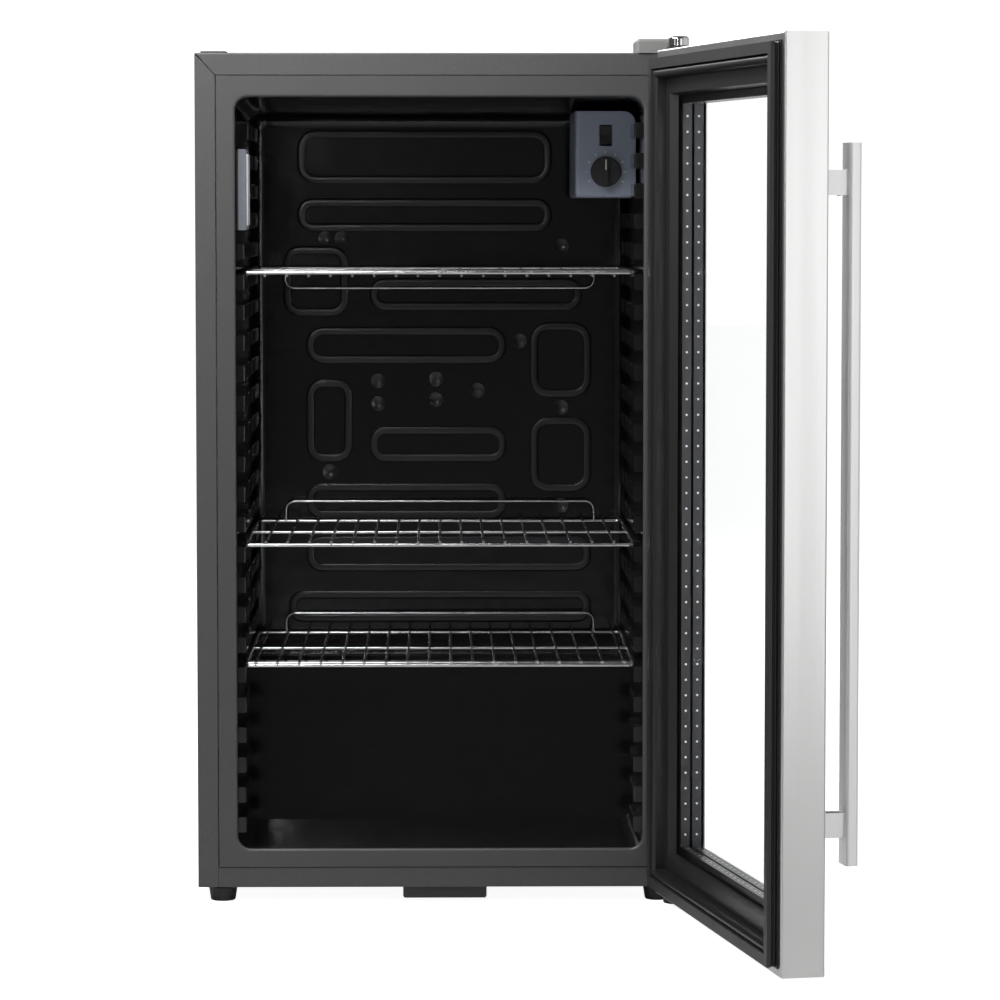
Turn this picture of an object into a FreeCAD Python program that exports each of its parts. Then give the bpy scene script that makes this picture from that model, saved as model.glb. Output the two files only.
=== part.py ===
import FreeCAD, Part
import math
import os

# Under-counter drinks cooler with a glass door. Millimetres, +X to the right, +Y to the back, +Z up.
# The origin is on the floor, midway across, in the plane of the cabinet's front flanges.

# Cabinet
WIDTH = 475.0
DEPTH = 398.0
BODY_BOTTOM = 15.0
BODY_TOP = 830.0
SHEET = 1.0
SIDE_FLANGE = 20.0
TOP_FLANGE = 21.5
PANEL_TOP = 34.6
FIT = 0.2

# Inside of the liner
OPENING_HALF = 198.5
OPENING_LOW = 53.0
OPENING_HIGH = 787.5
LINER_WALL = 2.0
LINER_BACK = 345.0
SIDE_DRAFT = 2.5
TOP_DRAFT = 12.0
CORNER_RADIUS = 13.0
HUMP_TOP = 221.0
HUMP_FOOT_Y = 200.0
HUMP_SHOULDER_Y = 215.0

# Shelf guides: rows of short blocks, one row every pitch
GUIDE_PITCH = 29.6
GUIDE_HEIGHT = 15.0
GUIDE_REACH = 9.0
GUIDE_COLUMNS = ((12.0, 95.0), (115.0, 200.0), (220.0, 305.0))
GUIDE_FIRST_TOP = 82.35
GUIDE_ROWS = 24

# Shelves: heights of the frame rod's centre
SHELF_HEIGHTS = {"shelf_top": 617.1, "shelf_middle": 350.7, "shelf_lower": 232.3}
SHELF_FRONT_Y = 12.0
SHELF_BACK_Y = 330.0
FRAME_ROD = 1.9
LONG_ROD = 1.3
LONG_PITCH = 21.3
SHELF_HALF = 191.5

# Compressor compartment
ROOM_FRONT_Y = 248.0
ROOM_TOP = 190.0
COMPRESSOR_X = 35.0
COMPRESSOR_Y = 322.0
SUCTION_TUBE = 3.6
SUCTION_Y = 305.0
DISCHARGE_TUBE = 2.6
DISCHARGE_Y = 342.0

# Door, drawn closed and then turned open about its pin
GAP = 10.5
DOOR_WIDTH = 473.0
DOOR_THICK = 40.0
DOOR_BOTTOM = 13.5
DOOR_TOP = 831.5
DOOR_BORDER = 50.0
FOLD_RADIUS = 2.0
PIN_INSET = 6.5
PIN_DEPTH = 19.8
PIN_RADIUS = 3.0
PIN_PLAY = 0.05
DOOR_REST_ANGLE = 100.4

# Glazing, as depths from the door's back plane towards its front
GLAZING_INSET = 27.2
PANES = {"glass_outer": (35.0, 38.9), "glass_middle": (23.0, 26.0), "glass_inner": (11.0, 14.0)}
SPACER_DEPTHS = ((26.0, 35.0), (14.0, 23.0))
SPACER_INSETS = (44.0, 52.0)

# Handle, along the door's free edge
HANDLE_LOW = 105.0
HANDLE_HIGH = 737.0
HANDLE_INSET = 30.0
HANDLE_WIDTH = 26.0
HANDLE_THICK = 11.0
HANDLE_REACH = 38.0
POST_HEIGHTS = (140.5, 702.5)
POST_HEIGHT = 22.0
POST_WIDTH = 14.0

# Thermostat housing, at the top right of the inside
HOUSING_X = (135.0, 195.0)
HOUSING_Y = (100.0, 290.0)
HOUSING_Z = (690.0, 776.0)
HOUSING_WALL = 2.0
KNOB_X = 165.0
KNOB_Z = 716.0
KNOB_SHAFT = 3.5
SWITCH_X = 165.0
SWITCH_Z = 752.0
SWITCH_PIN = 1.0

# Feet
FOOT_X = 214.0
FOOT_Y = 20.0
REAR_FOOT_Y = 372.0
FOOT_RADIUS = 14.0
FOOT_FLOOR_RADIUS = 12.2
FOOT_HEIGHT = 13.5
FOOT_STUD = 4.0

HALF = WIDTH / 2
DOOR_HALF = DOOR_WIDTH / 2
PIN_X = DOOR_HALF - PIN_INSET
PIN_Y = -GAP - PIN_DEPTH
Z_AXIS = FreeCAD.Vector(0, 0, 1)


def point(x, y, z):
    return FreeCAD.Vector(x, y, z)


def block(xs, ys, zs):
    """A box between two values along each axis."""
    size = [pair[1] - pair[0] for pair in (xs, ys, zs)]
    return Part.makeBox(*size, point(xs[0], ys[0], zs[0]))


def rod(radius, start, end):
    """A cylinder from one point to another."""
    start, end = point(*start), point(*end)
    return Part.makeCylinder(radius, (end - start).Length, start, end - start)


def fused(shapes):
    """One solid out of several that meet."""
    return shapes[0].multiFuse(shapes[1:]).removeSplitter()


def without(shape, tools):
    """The shape with every tool cut out of it."""
    for tool in tools:
        shape = shape.cut(tool)
    return shape


def edges_where(shape, test):
    """The edges whose bounding box passes a test."""
    return [edge for edge in shape.Edges if test(edge.BoundBox)]


def prism(outline, start, direction):
    """A polygon given by its corners, pushed along a direction."""
    corners = [point(*corner) for corner in outline]
    wire = Part.makePolygon(corners + corners[:1])
    return Part.Face(wire).extrude(point(*direction)).translated(point(*start))


def prism_x(outline, x_low, x_high):
    """A polygon in the Y-Z plane, pushed along X."""
    corners = [(0, y, z) for y, z in outline]
    return prism(corners, (x_low, 0, 0), (x_high - x_low, 0, 0))


def rounded_wire(half, low, high, y, radius):
    """A rounded rectangle facing the front, at one depth."""
    turn = radius * (1 - math.sqrt(0.5))
    corners = [(half, low, 1, 1), (half, high, 1, -1), (-half, high, -1, -1), (-half, low, -1, 1)]
    pieces = []
    ends = []
    for index, (x, z, side, up) in enumerate(corners):
        flat = point(x - side * radius, y, z)
        tall = point(x, y, z + up * radius)
        first, last = (flat, tall) if index % 2 == 0 else (tall, flat)
        middle = point(x - side * turn, y, z + up * turn)
        pieces.append(Part.Arc(first, middle, last).toShape())
        ends.append((first, last))
    for index in range(4):
        start = ends[index][1]
        finish = ends[(index + 1) % 4][0]
        pieces.append(Part.LineSegment(start, finish).toShape())
    return Part.Wire(Part.__sortEdges__(pieces))


def bent_path(corners, radius):
    """A wire of straight runs with an arc of one radius at each corner."""
    corners = [point(*corner) for corner in corners]
    pieces = []
    here = corners[0]
    for before, corner, after in zip(corners, corners[1:], corners[2:]):
        back = (before - corner).normalize()
        ahead = (after - corner).normalize()
        half_turn = math.acos(max(-1.0, min(1.0, back.dot(ahead)))) / 2
        reach = radius / math.tan(half_turn)
        enter = corner + back * reach
        leave = corner + ahead * reach
        inward = (back + ahead).normalize()
        middle = corner + inward * (radius / math.sin(half_turn) - radius)
        pieces.append(Part.LineSegment(here, enter).toShape())
        pieces.append(Part.Arc(enter, middle, leave).toShape())
        here = leave
    pieces.append(Part.LineSegment(here, corners[-1]).toShape())
    return Part.Wire(pieces)


def tube(corners, radius, bend):
    """A round bar along a bent path."""
    path = bent_path(corners, bend)
    first = path.Vertexes[0].Point
    heading = path.Edges[0].tangentAt(path.Edges[0].FirstParameter)
    section = Part.Wire([Part.makeCircle(radius, first, heading)])
    return path.makePipeShell([section], True, False)


def turned_profile(radii_and_heights, centre_x, centre_y):
    """A solid of revolution about a vertical axis, from an outline of radius and height."""
    corners = [point(centre_x + radius, centre_y, height) for radius, height in radii_and_heights]
    wire = Part.makePolygon(corners + corners[:1])
    return Part.Face(wire).revolve(point(centre_x, centre_y, 0), Z_AXIS, 360)


def save(name, shape):
    shape.exportStep("parts/" + name + ".step")


# ---------------------------------------------------------------- cabinet shell


def outer_wrapper():
    """Left side, top and right side in one folded sheet, with front flanges mitred at the top corners."""
    outside = block((-HALF, HALF), (0, DEPTH - SHEET), (BODY_BOTTOM, BODY_TOP))
    folds = edges_where(
        outside,
        lambda box: (box.YMax < 0.1 and box.ZMax > BODY_BOTTOM + 1)
        or (box.ZMin > BODY_TOP - 0.1 and box.XLength < 0.1),
    )
    outside = outside.makeFillet(1.5, folds)
    hollow = block((-HALF + SHEET, HALF - SHEET), (SHEET, DEPTH), (0, BODY_TOP - SHEET))
    mouth = block(
        (-HALF + SIDE_FLANGE, HALF - SIDE_FLANGE), (-1, SHEET + 1), (0, BODY_TOP - TOP_FLANGE)
    )
    shell = outside.cut(hollow).cut(mouth)
    rim = edges_where(
        shell,
        lambda box: box.YMax < 0.1
        and box.XMin > -HALF + SIDE_FLANGE - 0.1
        and box.XMax < HALF - SIDE_FLANGE + 0.1
        and box.ZMax < BODY_TOP - TOP_FLANGE + 0.1
        and box.ZLength + box.XLength > 100,
    )
    shell = shell.makeFillet(0.6, rim)
    for side in (-1, 1):
        slit = block((-0.4, 0.4), (-1, SHEET), (-40, -1.5))
        lean = math.degrees(math.atan2(SIDE_FLANGE, TOP_FLANGE))
        slit.rotate(point(0, 0, 0), point(0, 1, 0), side * lean)
        shell = shell.cut(slit.translated(point(side * HALF, 0, BODY_TOP)))
    return shell


def bottom_front_panel():
    """Steel strip below the opening, folded back under the cabinet."""
    reach = HALF - SIDE_FLANGE - FIT
    face = block((-reach, reach), (0, SHEET), (BODY_BOTTOM, PANEL_TOP))
    face = face.makeFillet(0.6, edges_where(face, lambda box: box.YMax < 0.1 and box.ZMin > PANEL_TOP - 0.1))
    fold = block((-reach, reach), (SHEET, 26), (BODY_BOTTOM, BODY_BOTTOM + SHEET))
    return without(fused([face, fold]), foot_holes())


def foot_holes():
    """Clearance round the studs of the two front feet."""
    radius = FOOT_STUD + 0.1
    return [rod(radius, (side * FOOT_X, FOOT_Y, 0), (side * FOOT_X, FOOT_Y, 30)) for side in (-1, 1)]


def base_plate():
    """Floor of the cabinet, which also carries the compressor, with a lip along its rear edge."""
    inside = HALF - SHEET - FIT / 2
    low = BODY_BOTTOM + SHEET
    plate = block((-inside, inside), (SHEET + 0.5, DEPTH - 2), (low, low + SHEET))
    lip = block((-inside, inside), (DEPTH - 2 - SHEET, DEPTH - 2), (low, low + 22))
    holes = foot_holes()
    holes.append(rod(6.0, (150, DEPTH - 10, low + 13), (150, DEPTH + 5, low + 13)))
    for x, y in compressor_bolt_places():
        holes.append(rod(3.0, (x, y, 0), (x, y, 30)))
    return without(fused([plate, lip]), holes)


def back_panel():
    """Flat steel sheet that closes the back above the compressor."""
    inside = HALF - SHEET - FIT / 2
    return block((-inside, inside), (DEPTH - SHEET, DEPTH), (ROOM_TOP + 1, BODY_TOP - SHEET - 0.1))


def back_panel_screws():
    """Pan-head screws round the back panel."""
    heads = []
    for x in (-215, 0, 215):
        for z in (205, 815):
            heads.append(rod(3.6, (x, DEPTH, z), (x, DEPTH + 2, z)))
    for x in (-225, 225):
        heads.append(rod(3.6, (x, DEPTH, 510), (x, DEPTH + 2, 510)))
    return Part.makeCompound(heads)


def compartment_liner():
    """Folded sheet between the compressor and the foam."""
    inside = HALF - SHEET - FIT / 2
    floor = BODY_BOTTOM + 2 * SHEET
    outline = [
        (ROOM_FRONT_Y, floor),
        (ROOM_FRONT_Y + SHEET, floor),
        (ROOM_FRONT_Y + SHEET, ROOM_TOP - SHEET),
        (DEPTH - SHEET, ROOM_TOP - SHEET),
        (DEPTH - SHEET, ROOM_TOP),
        (ROOM_FRONT_Y, ROOM_TOP),
    ]
    sheet = prism_x(outline, -inside, inside)
    return sheet.cut(rod(6.2, (COMPRESSOR_X, 335, 150), (COMPRESSOR_X, 335, 230)))


# ---------------------------------------------------------------- liner and foam


def hump(offset, half):
    """The step over the compressor, moved in by an offset."""
    outline = [
        (HUMP_FOOT_Y + offset, OPENING_LOW - 20),
        (HUMP_FOOT_Y + offset, OPENING_LOW),
        (HUMP_SHOULDER_Y + offset, HUMP_TOP - offset),
        (LINER_BACK + 20, HUMP_TOP - offset),
        (LINER_BACK + 20, OPENING_LOW - 20),
    ]
    solid = prism_x(outline, -half, half)
    shoulder = edges_where(
        solid,
        lambda box: box.ZMin > HUMP_TOP - offset - 0.1 and box.YMax < HUMP_SHOULDER_Y + offset + 0.1,
    )
    return solid.makeFillet(14.0, shoulder)


def liner_space(offset):
    """The hollow of the liner, or its outside when the offset is the wall."""
    front = rounded_wire(
        OPENING_HALF + offset,
        OPENING_LOW - offset,
        OPENING_HIGH + offset,
        -5.0 if offset == 0 else 0.0,
        CORNER_RADIUS + offset,
    )
    back_y = LINER_BACK + offset
    back = rounded_wire(
        OPENING_HALF - SIDE_DRAFT + offset,
        OPENING_LOW - offset,
        OPENING_HIGH - TOP_DRAFT + offset,
        back_y,
        CORNER_RADIUS + offset,
    )
    space = Part.makeLoft([front, back], True, True)
    rim = edges_where(space, lambda box: box.YMin > back_y - 0.1)
    space = space.makeFillet(CORNER_RADIUS + offset - 1.5, rim)
    return space.cut(hump(offset, HALF))


def guide_blocks(side):
    """Blocks down one wall, with rounded ends, that the shelves slide in between."""
    blocks = []
    for row in range(GUIDE_ROWS):
        top = GUIDE_FIRST_TOP + row * GUIDE_PITCH
        for column, (near, far) in enumerate(GUIDE_COLUMNS):
            over_hump = far > HUMP_FOOT_Y - 5 and top < HUMP_TOP + 5
            at_lamp = side < 0 and column == 0 and top > 650
            at_housing = side > 0 and far > HOUSING_Y[0] and top > HOUSING_Z[0]
            if top > OPENING_HIGH - 20 or over_hump or at_lamp or at_housing:
                continue
            inner = side * (OPENING_HALF - GUIDE_REACH)
            xs = sorted((inner, side * (OPENING_HALF + 3)))
            piece = block(xs, (near, far), (top - GUIDE_HEIGHT, top))
            tip = edges_where(piece, lambda box: box.XLength < 0.1 and abs(box.XMin - inner) < 0.1)
            blocks.append(piece.makeFillet(2.5, tip))
    return blocks


def inner_liner():
    """Black moulding: flange, tapered hollow, step over the compressor and the shelf guides."""
    outside = liner_space(LINER_WALL)
    flange = block(
        (-HALF + SIDE_FLANGE + 1, HALF - SIDE_FLANGE - 1),
        (-0.8, 1.4),
        (PANEL_TOP + 0.5, BODY_TOP - TOP_FLANGE - 0.5),
    )
    shell = outside.fuse(flange)
    hollow = liner_space(0.0)
    guides = guide_blocks(-1) + guide_blocks(1)
    hollow = hollow.cut(Part.makeCompound(guides))
    shell = shell.cut(hollow)
    mouth = edges_where(
        shell,
        lambda box: box.YMax < -0.7
        and box.XMax < OPENING_HALF + 1
        and box.XMin > -OPENING_HALF - 1
        and box.ZMin > OPENING_LOW - 1
        and box.ZMax < OPENING_HIGH + 1,
    )
    shell = shell.makeFillet(2.8, mouth)
    drain = rod(5.0, (COMPRESSOR_X, 335, HUMP_TOP - 10), (COMPRESSOR_X, 335, HUMP_TOP + 5))
    return shell.cut(drain)


def foam_insulation():
    """Rigid foam between the liner and the sheets, as slabs that meet face to face."""
    front = 6.0
    back = DEPTH - SHEET - 0.1
    wall_front = OPENING_HALF + LINER_WALL + 0.1
    wall_back = wall_front - SIDE_DRAFT * (back / LINER_BACK)
    outer = HALF - SHEET - 6.0
    top = BODY_TOP - SHEET - 0.1
    ceiling_front = OPENING_HIGH + LINER_WALL + 0.1
    ceiling_back = ceiling_front - TOP_DRAFT * (back / LINER_BACK)
    floor_low = BODY_BOTTOM + 2 * SHEET + 0.1
    floor_high = OPENING_LOW - LINER_WALL - 0.1
    room_y = ROOM_FRONT_Y - 0.1
    slabs = []
    for side in (-1, 1):
        for low, high, rear in ((floor_low, ROOM_TOP + 0.1, room_y), (ROOM_TOP + 0.1, top, back)):
            reach = wall_front - SIDE_DRAFT * (rear / LINER_BACK)
            outline = [
                (side * outer, front, low),
                (side * wall_front, front, low),
                (side * reach, rear, low),
                (side * outer, rear, low),
            ]
            slabs.append(prism(outline, (0, 0, 0), (0, 0, high - low)))
    inner = wall_back
    slabs.append(block((-inner, inner), (front, room_y), (floor_low, floor_high)))
    lower_hump = [
        (HUMP_FOOT_Y + 2.2, floor_high),
        (room_y, floor_high),
        (room_y, ROOM_TOP + 0.1),
        (HUMP_SHOULDER_Y, ROOM_TOP + 0.1),
    ]
    slabs.append(prism_x(lower_hump, -inner, inner))
    upper_hump = [
        (HUMP_SHOULDER_Y, ROOM_TOP + 0.1),
        (back, ROOM_TOP + 0.1),
        (back, HUMP_TOP - 2.1),
        (HUMP_SHOULDER_Y + 15.5, HUMP_TOP - 2.1),
    ]
    slabs.append(prism_x(upper_hump, -inner, inner))
    slabs.append(block((-inner, inner), (357, back), (HUMP_TOP - 2.1, ceiling_back)))
    ceiling = [(front, ceiling_front), (front, top), (back, top), (back, ceiling_back)]
    slabs.append(prism_x(ceiling, -inner, inner))
    wells = [rod(5.0, (side * FOOT_X, FOOT_Y, 10), (side * FOOT_X, FOOT_Y, 42)) for side in (-1, 1)]
    wells.append(rod(6.2, (COMPRESSOR_X, 335, 150), (COMPRESSOR_X, 335, 230)))
    return Part.makeCompound([without(slab, wells) for slab in slabs])


# ---------------------------------------------------------------- cooling circuit


def serpentine(start_z, rows, pitch, near, far, place):
    """Corners of a path that runs to and fro while it climbs."""
    corners = []
    for row in range(rows):
        z = start_z + row * pitch
        ends = (near, far) if row % 2 == 0 else (far, near)
        corners += [place(end, z) for end in ends]
    return corners


def evaporator_plate():
    """Aluminium sheet bonded to the back of the liner."""
    return block((-170, 170), (LINER_BACK + 2.3, LINER_BACK + 3.8), (245, 745))


def evaporator_tube():
    """Cooling tube that runs to and fro behind the plate."""
    y = LINER_BACK + 7.2
    corners = serpentine(265, 8, 60, -145, 145, lambda across, z: (across, y, z))
    return tube(corners, 3.2, 18)


def condenser_tube():
    """Warm tube fixed inside both side sheets."""
    runs = []
    for side in (-1, 1):
        x = side * (HALF - SHEET - 3.2)
        corners = serpentine(215, 10, 60, 35, 360, lambda along, z: (x, along, z))
        runs.append(tube(corners, 2.4, 18))
    return Part.makeCompound(runs)


def compressor_bolt_places():
    return [(COMPRESSOR_X + x, COMPRESSOR_Y + y) for x in (-78, 78) for y in (-48, 48)]


def compressor_shell():
    """Welded steel can with domed ends and a seam round its middle."""
    outside = [(0, 36), (40, 38), (58, 48), (65, 66), (65, 96)]
    outside += [(68, 96), (68, 101), (65, 101), (65, 134), (58, 152), (40, 162), (0, 164)]
    inside = [(0, 160), (39, 158), (55, 150), (62, 133), (62, 67), (55, 51), (39, 42), (0, 40)]
    can = turned_profile(outside, COMPRESSOR_X, COMPRESSOR_Y)
    can = can.cut(turned_profile(inside, COMPRESSOR_X, COMPRESSOR_Y))
    for radius, y, z in ((SUCTION_TUBE, SUCTION_Y, 120), (DISCHARGE_TUBE, DISCHARGE_Y, 84)):
        can = can.cut(rod(radius + 0.05, (COMPRESSOR_X - 80, y, z), (COMPRESSOR_X - 50, y, z)))
    stub = rod(4.0, (COMPRESSOR_X - 90, COMPRESSOR_Y + 20, 112), (COMPRESSOR_X - 58, COMPRESSOR_Y + 20, 112))
    return can.fuse(stub)


def compressor_pump():
    """Motor and pump block hung inside the can."""
    return rod(42, (COMPRESSOR_X, COMPRESSOR_Y, 62), (COMPRESSOR_X, COMPRESSOR_Y, 138))


def compressor_feet():
    """Two pressed rails under the can with a hole at each end."""
    rails = []
    for y in (-48, 48):
        centre = COMPRESSOR_Y + y
        rail = block((COMPRESSOR_X - 92, COMPRESSOR_X + 92), (centre - 12, centre + 12), (31, 34))
        rails.append(rail)
    bridge = block((COMPRESSOR_X - 36, COMPRESSOR_X + 36), (COMPRESSOR_Y - 48, COMPRESSOR_Y + 48), (31, 36))
    plate = fused(rails + [bridge])
    return without(plate, [rod(6.2, (x, y, 20), (x, y, 50)) for x, y in compressor_bolt_places()])


def compressor_grommets():
    """Rubber bushes with a groove that the feet sit in."""
    low = BODY_BOTTOM + 2 * SHEET
    outline = [(3.2, low), (10, low), (10, 30.8), (6.1, 30.8), (6.1, 34.2), (9, 34.2), (9, 38), (3.2, 38)]
    return Part.makeCompound([turned_profile(outline, x, y) for x, y in compressor_bolt_places()])


def compressor_bolts():
    """Bolts that hold the compressor through its bushes."""
    bolts = []
    for x, y in compressor_bolt_places():
        shank = rod(2.9, (x, y, BODY_BOTTOM - 1), (x, y, 38))
        head = rod(7.0, (x, y, 38), (x, y, 41))
        bolts.append(shank.fuse(head))
    return Part.makeCompound(bolts)


def relay_cover():
    """Plastic box over the starting relay, on the side of the can."""
    x = COMPRESSOR_X + 69
    box = block((x, x + 34), (COMPRESSOR_Y - 24, COMPRESSOR_Y + 24), (66, 134))
    outer_edges = edges_where(box, lambda bounds: bounds.XMin > x + 33.9)
    return box.makeFillet(5.0, outer_edges)


def filter_drier():
    """Copper cartridge with tapered ends."""
    outline = [(0, 60), (2.6, 60), (2.6, 70), (9, 80), (9, 140), (2.6, 150), (2.6, 160), (0, 160)]
    return turned_profile(outline, -140, 350)


def suction_tube():
    """Return line from the cold plate to the can."""
    x = COMPRESSOR_X
    y = SUCTION_Y
    corners = [(x - 57, y, 120), (x - 112, y, 120), (x - 112, y, 60), (x - 150, y, 60), (x - 150, y, 188)]
    return tube(corners, SUCTION_TUBE, 14)


def discharge_tube():
    """Hot line from the can to the side tubes."""
    x = COMPRESSOR_X
    y = DISCHARGE_Y
    corners = [(x - 57, y, 84), (x - 95, y, 84), (x - 95, 380, 84), (-205, 380, 84), (-205, 380, 180)]
    return tube(corners, DISCHARGE_TUBE, 12)


def drip_tray():
    """Open tray on top of the can that catches the defrost water."""
    xs = (COMPRESSOR_X - 62, COMPRESSOR_X + 62)
    ys = (COMPRESSOR_Y - 46, COMPRESSOR_Y + 46)
    tray = block(xs, ys, (164.5, 182))
    hollow = block((xs[0] + 2, xs[1] - 2), (ys[0] + 2, ys[1] - 2), (167, 190))
    return tray.cut(hollow)


def drain_tube():
    """Short spout from the step in the liner down to the tray."""
    outer = rod(6.0, (COMPRESSOR_X, 335, 176), (COMPRESSOR_X, 335, HUMP_TOP - 2.1))
    return outer.cut(rod(4.5, (COMPRESSOR_X, 335, 170), (COMPRESSOR_X, 335, 230)))


def cord_gland():
    """Rubber ring in the rear lip where the mains lead would enter."""
    z = BODY_BOTTOM + SHEET + 13
    lip = DEPTH - 2 - SHEET
    ring = rod(8.5, (150, lip - 2.5, z), (150, DEPTH + 0.5, z))
    groove = rod(20, (150, lip, z), (150, DEPTH - 2, z)).cut(rod(5.9, (150, 300, z), (150, 450, z)))
    return without(ring, [groove, rod(3.6, (150, 300, z), (150, 450, z))])


# ---------------------------------------------------------------- fittings on the cabinet


def levelling_foot(side):
    """Screw foot: threaded stud and a tapered pad with grip grooves down its side."""
    x = side * FOOT_X
    outline = [
        (0, 0), (FOOT_FLOOR_RADIUS - 1, 0), (FOOT_FLOOR_RADIUS, 1),
        (FOOT_RADIUS, FOOT_HEIGHT - 1), (FOOT_RADIUS - 1, FOOT_HEIGHT), (0, FOOT_HEIGHT),
    ]
    pad = turned_profile(outline, x, FOOT_Y)
    notches = []
    for index in range(20):
        angle = math.radians(18 * index)
        low = (x + 13.3 * math.cos(angle), FOOT_Y + 13.3 * math.sin(angle), -1)
        high = (x + 14.9 * math.cos(angle), FOOT_Y + 14.9 * math.sin(angle), 20)
        notches.append(rod(1.1, low, high))
    stud = rod(FOOT_STUD, (x, FOOT_Y, FOOT_HEIGHT), (x, FOOT_Y, 32))
    return without(pad, notches).fuse(stud)


def rear_feet():
    """Fixed pads at the back."""
    low_top = BODY_BOTTOM + SHEET
    pads = []
    for side in (-1, 1):
        x = side * FOOT_X
        outline = [(0, 0), (11, 0), (12, 1), (12, 4), (10, low_top), (0, low_top)]
        pads.append(turned_profile(outline, x, REAR_FOOT_Y))
    return Part.makeCompound(pads)


def catch_plate():
    """Folded tab under the middle of the front."""
    middle = 4.5
    face = block((middle - 41, middle + 41), (1.2, 4.2), (4, BODY_BOTTOM))
    corners = edges_where(face, lambda box: box.ZMax < 4.1 and box.XLength < 0.1)
    face = face.makeFillet(2.5, corners)
    fold = block((middle - 41, middle + 41), (4.2, 24), (BODY_BOTTOM - 2.5, BODY_BOTTOM))
    return fused([face, fold])


def hinge_hole_plug():
    """Flat cap over the unused hinge holes on the left."""
    plate = block((-232, -207), (8, 60), (BODY_TOP, BODY_TOP + 2))
    rims = edges_where(plate, lambda box: box.ZMin > BODY_TOP + 1.9)
    return plate.makeFillet(1.2, rims)


def hinge_pin_hole(low, high):
    return rod(PIN_RADIUS + 2.0, (PIN_X, PIN_Y, low), (PIN_X, PIN_Y, high))


def top_hinge_bracket():
    """Plate screwed to the top, stepped up to an arm that reaches over the door."""
    foot = block((196, 234), (4, 66), (BODY_TOP, BODY_TOP + 3))
    riser = block((PIN_X - 9, 234), (-2, 10), (BODY_TOP + 3, BODY_TOP + 6))
    edge = [(PIN_X - 9, PIN_Y), (PIN_X + 9, PIN_Y), (234, -5), (234, 0), (PIN_X - 9, 0)]
    arm = prism([(x, y, 0) for x, y in edge], (0, 0, BODY_TOP + 3), (0, 0, 3))
    nose = rod(9, (PIN_X, PIN_Y, BODY_TOP + 3), (PIN_X, PIN_Y, BODY_TOP + 6))
    plate = fused([foot, riser, arm, nose])
    holes = [rod(2.5, (x, y, BODY_TOP - 1), (x, y, BODY_TOP + 10)) for x, y in top_screw_places()]
    holes.append(rod(PIN_RADIUS, (PIN_X, PIN_Y, BODY_TOP), (PIN_X, PIN_Y, BODY_TOP + 9)))
    return without(plate, holes)


def top_screw_places():
    return [(206, 20), (206, 52), (224, 36)]


def top_hinge_cover():
    """Grey cap over the top bracket."""
    shell = block((190.8, 236), (-1.5, 72), (BODY_TOP, BODY_TOP + 13.5))
    rims = edges_where(
        shell,
        lambda box: box.ZMin > BODY_TOP + 13.4 or (box.ZLength > 5),
    )
    shell = shell.makeFillet(3.0, rims)
    hollow = block((192.8, 234.4), (0.2, 70), (BODY_TOP - 1, BODY_TOP + 11.5))
    slot = block((PIN_X - 9.4, 235), (-5, 5), (BODY_TOP - 1, BODY_TOP + 6.4))
    return shell.cut(hollow).cut(slot)


def top_hinge_pin():
    """Pin riveted in the arm, reaching down into the door."""
    shank = rod(PIN_RADIUS, (PIN_X, PIN_Y, DOOR_TOP - 12), (PIN_X, PIN_Y, BODY_TOP + 6))
    head = rod(5.5, (PIN_X, PIN_Y, BODY_TOP + 6), (PIN_X, PIN_Y, BODY_TOP + 8.5))
    return shank.fuse(head)


def hinge_pin_cap():
    """Dark polished cap over the pin's head."""
    low = BODY_TOP + 6
    cap = rod(9.8, (PIN_X, PIN_Y, low), (PIN_X, PIN_Y, BODY_TOP + 14.8))
    cap = cap.makeFillet(2.6, edges_where(cap, lambda box: box.ZMin > BODY_TOP + 14))
    return cap.cut(rod(6, (PIN_X, PIN_Y, low - 1), (PIN_X, PIN_Y, low + 3)))


def bottom_screw_places():
    return [(186, 46), (200, 62)]


def bottom_hinge_bracket():
    """Plate under the cabinet, stepped down to an arm that carries the door."""
    top = BODY_BOTTOM
    foot = block((176, 192), (28, 74), (top - 3, top))
    wing = block((176, 236), (44, 74), (top - 3, top))
    rail = block((229.5, 236), (-8, 74), (top - 3, top))
    step = block((PIN_X - 9, 236), (-8, 2), (8.6, top))
    arm = block((PIN_X - 9, PIN_X + 9), (PIN_Y, -6), (8.6, 11.6))
    nose = rod(9, (PIN_X, PIN_Y, 8.6), (PIN_X, PIN_Y, 11.6))
    plate = fused([foot, wing, rail, step, arm, nose])
    plate = plate.cut(block((PIN_X - 20, 240), (PIN_Y - 20, -1), (11.6, top + 1)))
    holes = [rod(2.5, (x, y, 5), (x, y, 20)) for x, y in bottom_screw_places()]
    holes.append(rod(PIN_RADIUS, (PIN_X, PIN_Y, 0), (PIN_X, PIN_Y, 20)))
    return without(plate, holes)


def hinge_screws():
    """Five pan-head screws, three down into the top and two up into the bottom of the cabinet."""
    screws = []
    for x, y in top_screw_places():
        shank = rod(2.4, (x, y, BODY_TOP), (x, y, BODY_TOP + 3))
        head = rod(4.5, (x, y, BODY_TOP + 3), (x, y, BODY_TOP + 5.6))
        screws.append(shank.fuse(head))
    for x, y in bottom_screw_places():
        shank = rod(2.4, (x, y, BODY_BOTTOM - 3), (x, y, BODY_BOTTOM))
        head = rod(4.5, (x, y, BODY_BOTTOM - 5.6), (x, y, BODY_BOTTOM - 3))
        screws.append(shank.fuse(head))
    return Part.makeCompound(screws)


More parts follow.
